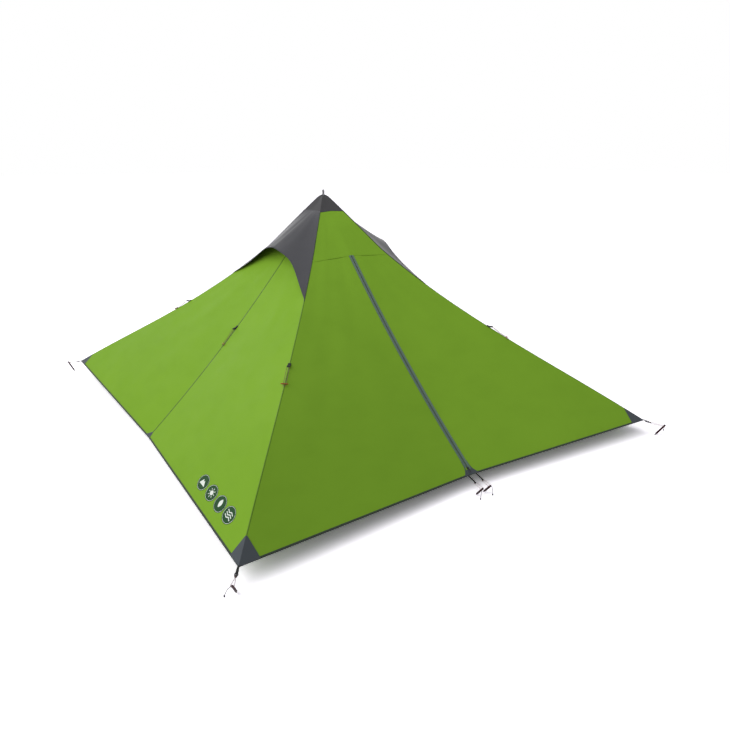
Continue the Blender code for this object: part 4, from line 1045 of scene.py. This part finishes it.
PULL_HANG = {"front_left": (-0.034, -0.007, -0.030), "front_right": (0.003, 0.008, -0.036),
             "back_left": (-0.013, 0.0085, -0.055), "back_right": (0.013, 0.010, -0.050),
             "left": (-0.016, -0.006, -0.052), "right": (0.009, -0.005, -0.053)}


def mirrored(points):
    return [Vector((point.x, -point.y, point.z)) for point in reversed(points)]


class Stake:
    """A point of the hem, the peg that holds it, and the straight pull between the two."""

    def __init__(self, name, body, origin, out, tip_out, tilt):
        self.name = name
        self.body = body
        out = out.normalized()
        self.frame = frame_at(origin, out, UP.cross(out), UP)
        tilt = math.radians(tilt)
        self.axis = Vector((math.cos(tilt), 0, math.sin(tilt)))
        self.behind = Vector((math.sin(tilt), 0, -math.cos(tilt)))
        self.tip = Vector((tip_out, 0, 0.12 * PEG_FIN * math.cos(tilt) - origin.z))
        self.neck = self.tip + self.axis * (PEG_LENGTH - PEG_NECK)
        self.start = Vector((0.002, 0, STRAP_MIDDLE))
        self.pull = (self.neck - self.start).normalized()
        self.lift = Vector((-self.pull.z, 0, self.pull.x))
        self.fall = math.degrees(math.atan2(-self.pull.z, self.pull.x))

    def along(self, distance, height=0.0, aside=0.0):
        return self.start + self.pull * distance + self.lift * height + Vector((0, aside, 0))

    def world(self, points):
        return [self.frame @ Vector(point) for point in points]

    def strap(self, height_at, turn_at, radius, back_to, thickness, stands_for):
        """Webbing from the hem to a turn and back. height_at tells the cloth's height inside the hem."""
        route = [Vector((-inside, 0, height_at(inside) - sink + STRAP_MIDDLE))
                 for inside, sink in ((STRAP_ROOT, STRAP_SINK), (0, 0))]
        centre = self.along(turn_at, -radius)
        route.append(self.start.copy())
        for step in range(TURN_STEPS + 1):
            angle = math.radians(90 - self.fall - 180 * step / TURN_STEPS)
            route.append(centre + Vector((math.cos(angle), 0, math.sin(angle))) * radius)
        route.append(self.along(back_to, -2 * radius))
        ribbon(f"strap_{self.name}", self.world(route), self.frame.to_3x3() @ Vector((0, 1, 0)), WEB_WIDTH,
               thickness, self.body, "cap_grey", [stands_for])

    def peg_bend(self):
        left = [self.neck + self.behind * (behind * CORD_BEHIND) + Vector((0, beside * CORD_BESIDE, 0))
                for behind, beside in ((-0.6, 1.0), (0.25, 0.86), (0.8, 0.45))]
        return left + [self.neck + self.behind * CORD_BEHIND] + mirrored(left)

    def tie(self, points, stands_for):
        """The closed cord through the strap's end or its buckle and round the peg's neck."""
        route = smooth(self.world(points), CORD_STEP, True)
        rope(f"tie_{self.name}", route, CORD_RADIUS, CORD, self.body, "cord_red", [stands_for], True)

    def pull_cord(self):
        """A short grey cord through the hole in the peg's head, bowed over to a small bead."""
        hang = PULL_HANG[self.name]
        middle = self.tip + self.axis * (PEG_LENGTH - PEG_HOLE) + self.behind * PEG_HOLE_BACK
        turned = self.frame.to_3x3().transposed() @ Vector((hang[0], hang[1], 0))
        aside = 1 if turned.y > 0 else -1
        exit_point = middle + Vector((0, PEG_HOLE_DEPTH * aside, 0))
        first = exit_point + Vector((0, 0.003 * aside, 0))
        drop = Vector((0, 0, hang[2]))
        points = [exit_point, first]
        points += [first + turned * share + drop * share ** 2.2 for share in (0.15, 0.35, 0.6, 0.85, 1.0)]
        route = self.world(smooth(points, 0.0015))
        length = sum((b - a).length for a, b in zip(route, route[1:]))
        cord = rope(f"pull_{self.name}", route, PULL_RADIUS, PULL, self.body)
        rings = []
        for step in range(BEAD_STEPS + 1):
            angle = math.pi * (0.06 + 0.88 * step / BEAD_STEPS)
            radius = BEAD_RADIUS * math.sin(angle) ** 0.8
            height = BEAD_HALF * math.cos(angle) - 0.0010
            rings.append([route[-1] + Vector((radius * x, radius * y, height)) for x, y in circle(14)])
        bead = loft(f"bead_{self.name}", rings, BLACK, self.body, "black_plastic", sharp=70)
        tuple(route[0])
        [tuple(point) for point in route]


def corner_tie(name, corner):
    origin = Vector((corner[0] * HALF_WIDTH, corner[1] * HALF_DEPTH, CORNER_LIFT))
    tip_out = FRONT_LEFT_PEG_OUT if name == "front_left" else CORNER_PEG_OUT
    stake = Stake(name, "canopy", origin, Vector((origin.x, origin.y, 0)), tip_out, CORNER_PEG_TILT)

    def height_at(inside):
        return ridge_height(1 - level(inside)) - CORNER_LIFT
    stake.strap(height_at, CORNER_STRAP, BUCKLE_TURN, CORNER_STRAP_BACK, CORNER_WEB, f"corner_patch_{name}")
    start = CORNER_STRAP + BUCKLE_EYE
    over = BUCKLE_BAR + 0.0006 + CORD_RADIUS
    near, far = BUCKLE_RIM * 0.8, BUCKLE_RIM * 2.2
    steps = ((far, 1, 1), (near, 1, 0), (0, 0.75, 0), (-CORD_RADIUS / 2, 0, 0), (0, -0.75, 0),
             (near, -1, 0), (far, -1, -1))
    loop = [stake.along(start + ahead, over * height - BUCKLE_TURN, over * aside)
            for ahead, height, aside in steps]
    stake.tie(loop + stake.peg_bend()[::-1], f"peg_cord_{name}")
    stake.pull_cord()


def door_tie(side, sign):
    origin = FRONT.point(1, FRONT.at(1, sign * DOOR_PEG_ASIDE))
    out = Matrix.Rotation(math.radians(-DOOR_PEG_TURN), 3, "Z") @ FRONT.out
    stake = Stake(side, f"door_{side}", origin, out, DOOR_PEG_OUT, DOOR_PEG_TILT)

    def height_at(inside):
        s = 1 - inside / FRONT.reach
        return FRONT.point(s, FRONT.at(s, DOOR_PEG_ASIDE)).z - origin.z
    turn = CORD_RADIUS + SEAM_GAP * 3 + WEB / 2
    stake.strap(height_at, DOOR_STRAP, turn, DOOR_STRAP_BACK, WEB, f"door_patch_{side}")
    beside = WEB_WIDTH / 2 + SEAM_GAP + CORD_RADIUS
    half = [stake.along(DOOR_STRAP, -turn), stake.along(DOOR_STRAP, -turn, beside * 0.75),
            stake.along(DOOR_STRAP + CORD_RADIUS * 2, -turn, beside * 1.05)]
    stake.tie(half + stake.peg_bend() + mirrored(half[1:]), f"door_peg_cord_{side}")
    stake.pull_cord()


# Guy points
GUY_LINE = 0.150
GUY_BIGHT = 0.018
GUY_ROOT = LAYER_GAP + WEB / 2
GUY_PITCH = math.radians(28)
GUY_EYE = 0.026
GUY_HALF = 0.0156 / 2
GUY_LEVEL_FROM = GUY_LINE - 0.040 - 0.007
GUY_STEP = 0.002
GUY_WEB_WIDTH = 0.019
GUY_WEB = WEB * 3.2
RIDGE_GUY = {-1: 1.25, 1: 1.19}
SIDE_GUY = 0.736
RIDGE_GUY_LIFT = 0.0051
SIDE_GUY_LIFT = 0.0064


def guy(name, place, start, lift):
    """Loop and doubled cord of one guy point. place tells the point of the seam at a distance out."""
    first = place(start)
    end = start
    run = 0.0
    while run < GUY_LINE + GUY_BIGHT:
        end += GUY_STEP
        run = (place(end) - first).length
    down = (place(end) - first).normalized()
    side = UP.cross(down).normalized()
    axes = frame_at(first, down, side, down.cross(side))
    out, height = GUY_EYE * math.cos(GUY_PITCH), GUY_ROOT + GUY_EYE * math.sin(GUY_PITCH)
    half = [(out, GUY_HALF * 0.6, height), (out + 0.002, GUY_HALF * 0.95, height - 0.0004),
            (mix(out, GUY_LEVEL_FROM, 0.5), GUY_HALF, mix(height, lift, 0.55)),
            (GUY_LEVEL_FROM, GUY_HALF, lift), (GUY_LINE, GUY_HALF, lift),
            (GUY_LINE + GUY_BIGHT * 0.55, GUY_HALF, lift),
            (GUY_LINE + GUY_BIGHT * 0.9, GUY_HALF * 0.55, lift)]
    half = [Vector(point) for point in half]
    route = [axes @ point for point in smooth(half + mirrored(half), GUY_STEP, True)]
    rope(f"guy_line_{name}", route, CORD_RADIUS, CORD, "canopy", "cord_red", [f"guy_cord_{name}"], True)
    turn = CORD_RADIUS + SEAM_GAP + WEB / 2
    upper = GUY_ROOT + WEB + 0.0001
    loop = [(-0.014, upper), (-0.002, upper), (0.004, upper + 0.0015)]
    for step in range(11):
        angle = GUY_PITCH + math.radians(mix(100, -100, step / 10))
        loop.append((out + turn * math.cos(angle), height + turn * math.sin(angle)))
    loop += [(0.006, GUY_ROOT + 0.0008), (0.0005, GUY_ROOT), (-0.014, GUY_ROOT)]
    ribbon(f"guy_loop_{name}", [axes @ Vector((x, 0, z)) for x, z in loop],
           axes.to_3x3() @ Vector((0, 1, 0)), GUY_WEB_WIDTH, GUY_WEB, "canopy", "webbing_black")


def ridge_guy(name, corner):
    def place(distance):
        return on_ridge(corner, level(distance), 0, 0)
    guy(name, place, RIDGE_GUY[corner[1]], RIDGE_GUY_LIFT)


def side_guy(side, face):
    def place(distance):
        return face.point(distance / face.reach, 0)
    guy(side, place, SIDE_GUY, SIDE_GUY_LIFT)


# Badges: four plain ovals with simple outdoor shapes
BADGE_LEVEL = 0.944
BADGE_RADIUS = 0.060
BADGE_RING = (0.0545, 0.0562)
BADGE_WIDE = 1.08
BADGE_HIGH = 0.84
BADGE_LOW = 0.00025
BADGE_TOP = 0.00065
PRINT_LOW = 0.00070
PRINT_TOP = 0.00095
LEAF_HALF = 0.0165
LEAF_ENDS = (-0.026, 0.034)
WAVE_HALF = 0.0036


def badge(name, v, shapes):
    def place(x, y, lift):
        """x along the hem towards the near corner, y up the face, from the oval's middle."""
        s = BADGE_LEVEL - y * BADGE_HIGH / LEFT.length
        aside = v * BADGE_LEVEL * LEFT.half_across - x * BADGE_WIDE
        return LEFT.skin(s, LEFT.at(s, aside), lift)

    def disc(tag, inner, outer, low, high, material):
        steps = max(1, round((outer - inner) / 0.010))
        radii = [mix(outer, inner, step / steps) for step in range(steps + 1)]
        profile = [(radius, high) for radius in radii] + [(radius, low) for radius in reversed(radii)]
        rings = [[place(radius * x, radius * y, lift) for radius, lift in profile] for x, y in circle(48)]
        loft(f"{tag}_{name}", rings, material, closed=True, sharp=40)
    disc("badge", 0.0004, BADGE_RADIUS, BADGE_LOW, BADGE_TOP, BADGE)
    disc("badge_ring", *BADGE_RING, PRINT_LOW, PRINT_TOP, WHITE)
    for index, outline in enumerate(shapes):
        bm = bmesh.new()
        bm.faces.new([bm.verts.new((x, y, 0)) for x, y in outline])
        bmesh.ops.triangulate(bm, faces=bm.faces[:])
        copy = bmesh.ops.extrude_face_region(bm, geom=bm.faces[:])
        moved = {part for part in copy["geom"] if isinstance(part, bmesh.types.BMVert)}
        for vert in bm.verts:
            vert.co = place(vert.co.x, vert.co.y, PRINT_LOW if vert in moved else PRINT_TOP)
        bmesh.ops.recalc_face_normals(bm, faces=bm.faces[:])
        shape = f"badge_shape_{name}_{index}"
        add(shape, from_bmesh(shape, bm), WHITE, "canopy")


def ray(x, y):
    along = Vector((x, y))
    side = Vector((-y, x)) * 0.0032
    root, tip = along * 0.023, along * 0.036
    return [root - side, tip - side * 0.4, tip + side * 0.4, root + side]


def wave(row):
    upper = [(x, row + 0.0045 * math.sin(x * 150) + WAVE_HALF) for x in np.arange(-34, 35, 4) / 1000]
    return upper + [(x, y - 2 * WAVE_HALF) for x, y in reversed(upper)]


def badges():
    peak = [(-0.036, -0.020), (-0.012, 0.022), (-0.002, 0.006), (0.008, 0.016), (0.034, -0.020)]
    sun = [(0.017 * x, 0.017 * y) for x, y in circle(28)]
    shares = [step / 12 for step in range(13)]
    leaf = [(LEAF_HALF * math.sin(math.pi * t) ** 0.8, mix(*LEAF_ENDS, t)) for t in shares]
    leaf += [(-x, y) for x, y in leaf[-2:0:-1]]
    badge("peak", -0.607, [peak])
    badge("sun", -0.694, [sun, *(ray(x, y) for x, y in circle(8))])
    badge("leaf", -0.778, [leaf])
    badge("wave", -0.858, [wave(row) for row in (-0.018, 0.0, 0.018)])


# Hard parts keep their own shape, with softened edges
SLOTS = {BLACK: "black_plastic", BLACK_WEB: "webbing_black", PEG: "peg_metal", RUNNER: "runner_plastic",
         ALLOY: "pole_alloy", RUBBER: "rubber"}


def finer(name, material, body, bevel, angle=35):
    data = frame["nodes"][name].data.copy()
    data.materials.clear()
    bm = bmesh.new()
    bm.from_mesh(data)
    bmesh.ops.remove_doubles(bm, verts=bm.verts[:], dist=0.000005)
    bmesh.ops.dissolve_limit(bm, angle_limit=math.radians(1), verts=bm.verts[:], edges=bm.edges[:])
    bm.to_mesh(data)
    bm.free()
    obj = add(f"{name}_fine", shaded(data, angle), material, body, SLOTS[material], [name])
    soften = obj.modifiers.new("soften", "BEVEL")
    soften.width = bevel
    soften.segments = 2
    soften.limit_method = "ANGLE"
    soften.angle_limit = math.radians(angle)
    soften.harden_normals = True


def hard_parts():
    for name in CORNERS:
        finer(f"buckle_{name}", BLACK, "canopy", 0.0004)
        finer(f"peg_{name}", PEG, "canopy", 0.0002)
    for side in SIDES:
        finer(f"door_peg_{side}", PEG, f"door_{side}", 0.0002)
    for name in (*CORNERS, *SIDES):
        finer(f"guy_runner_{name}", RUNNER, f"runner_{name}", 0.0005)
    finer("apex_loop", BLACK_WEB, "canopy", 0.0002)
    finer("zip_slider", BLACK, "slider", 0.0002)
    finer("zip_puller", BLACK, "puller", 0.0003)
    finer("pole_upper", ALLOY, "canopy", 0.0002, 30)
    finer("pole_lower", ALLOY, "lower_pole", 0.0002, 30)
    finer("pole_clamp", BLACK, "canopy", 0.0003, 30)
    finer("clamp_lever", RUNNER, "lever", 0.0004, 30)
    finer("pole_foot", RUBBER, "lower_pole", 0.0004, 30)
    finer("pole_tip", BLACK, "canopy", 0.0003, 30)


# Camera, floor and light
CAMERA_PLACE = Vector((-2.397, -4.1805, 1.8945))
CAMERA_FORWARD = Vector((0.5230, 0.7915, -0.3162))
CAMERA_LENS = 31.34
FLOOR_LIT = (0.60, 0.60, 0.60)
FLOOR_SEEN = (1.62, 1.58, 1.645)
FLOOR_GLOW = (1.0, 0.93, 1.06, 1)
FLOOR_GLOW_STRENGTH = 0.09
SKY = (0.96, 0.98, 1.0, 1)
SKY_STRENGTH = 0.25
SUN_TOWARD = (-0.79, 0.02, 0.62)
SUN_POWER = 2.3
SUN_ANGLE = math.radians(70)


def camera():
    data = bpy.data.cameras.new("camera")
    data.lens = CAMERA_LENS
    data.sensor_width = 36
    data.clip_start = 0.05
    data.clip_end = 200
    back = -CAMERA_FORWARD.normalized()
    right = UP.cross(back).normalized()
    obj = place_in_scene("camera", data)
    obj.matrix_world = frame_at(CAMERA_PLACE, right, back.cross(right), back)
    bpy.context.scene.camera = obj


def seen_directly(tree):
    """1 for rays from the camera and for those that mirror or pass through a piece, else 0."""
    path = node(tree, "ShaderNodeLightPath").outputs
    seen = path["Is Camera Ray"]
    for other in (path["Is Glossy Ray"], path["Is Transmission Ray"]):
        seen = node(tree, "ShaderNodeMath", {0: seen, 1: other}, operation="MAXIMUM").outputs[0]
    return seen


def floor():
    """Grey for the light it throws back, white where it is seen, and it keeps the object's shadow."""
    bm = bmesh.new()
    bmesh.ops.create_grid(bm, x_segments=1, y_segments=1, size=60)
    material = bpy.data.materials.new("floor")
    material.use_nodes = True
    tree = material.node_tree
    tree.nodes.clear()
    seen = seen_directly(tree)
    shade = node(tree, "ShaderNodeMix", {0: seen, 4: FLOOR_LIT, 5: FLOOR_SEEN}, data_type="VECTOR")
    paper = node(tree, "ShaderNodeBsdfDiffuse", {"Color": shade.outputs[1]})
    strength = node(tree, "ShaderNodeMath", {0: seen, 1: FLOOR_GLOW_STRENGTH}, operation="MULTIPLY")
    glow = node(tree, "ShaderNodeEmission", {"Color": FLOOR_GLOW, "Strength": strength.outputs[0]})
    both = node(tree, "ShaderNodeAddShader", {0: paper.outputs[0], 1: glow.outputs[0]})
    node(tree, "ShaderNodeOutputMaterial", {"Surface": both.outputs[0]})
    obj = add("floor", from_bmesh("floor", bm), material)
    obj.location.z = min(0.0, CAD_BOX[0].z) - 0.0002


def lamp(name, kind, power, aim):
    data = bpy.data.lights.new(name, kind)
    data.energy = power
    obj = place_in_scene(name, data)
    obj.rotation_mode = "QUATERNION"
    obj.rotation_quaternion = Vector(aim).to_track_quat("Z", "Y")
    return obj


def soft_box(name, place, target, size, power):
    box = lamp(name, "AREA", power, Vector(place) - Vector(target))
    box.location = place
    box.data.shape = "RECTANGLE"
    box.data.size, box.data.size_y = size


def lights():
    world = bpy.data.worlds.new("world")
    world.use_nodes = True
    bpy.context.scene.world = world
    tree = world.node_tree
    tree.nodes.clear()
    sky = node(tree, "ShaderNodeBackground", {"Color": SKY, "Strength": SKY_STRENGTH})
    white = node(tree, "ShaderNodeBackground", {"Color": (1, 1, 1, 1), "Strength": 1.0})
    mixed = node(tree, "ShaderNodeMixShader", {"Fac": seen_directly(tree), 1: sky.outputs[0],
                                               2: white.outputs[0]})
    node(tree, "ShaderNodeOutputWorld", {"Surface": mixed.outputs[0]})
    lamp("sun", "SUN", SUN_POWER, SUN_TOWARD).data.angle = SUN_ANGLE
    soft_box("back", (-0.9, 4.6, 1.5), (-0.6, 0, 1.1), (3.0, 1.6), 34)
    soft_box("top", (0.2, -0.6, 3.3), (0, -0.4, 0.6), (2.0, 2.0), 18)
    bpy.context.scene.view_settings.view_transform = "Standard"


def each(group, *builders):
    for builder in builders:
        for name, value in group.items():
            builder(name, value)


camera()
each(CORNERS, corner_tie)
each(SIGNS, door_tie)
each(SIDES, side_cloth)
back_cloth()
yoke_cloth()
each(SIGNS, front_cloth)
cap()
each(SIDES, hood)
each(CORNERS, corner_seams)
each(SIDES, side_seams)
yoke_seam()
each(PLAIN_HEMS, plain_hem)
each(SIGNS, front_hem)
each(CORNERS, corner_patch)
each(PLAIN_HEMS, hem_patch)
each(SIGNS, zip_half)
placket()
each(SIGNS, door_patch, zip_base)
each(CORNERS, ridge_guy)
each(SIDES, side_guy)
badges()
hard_parts()
floor()
lights()
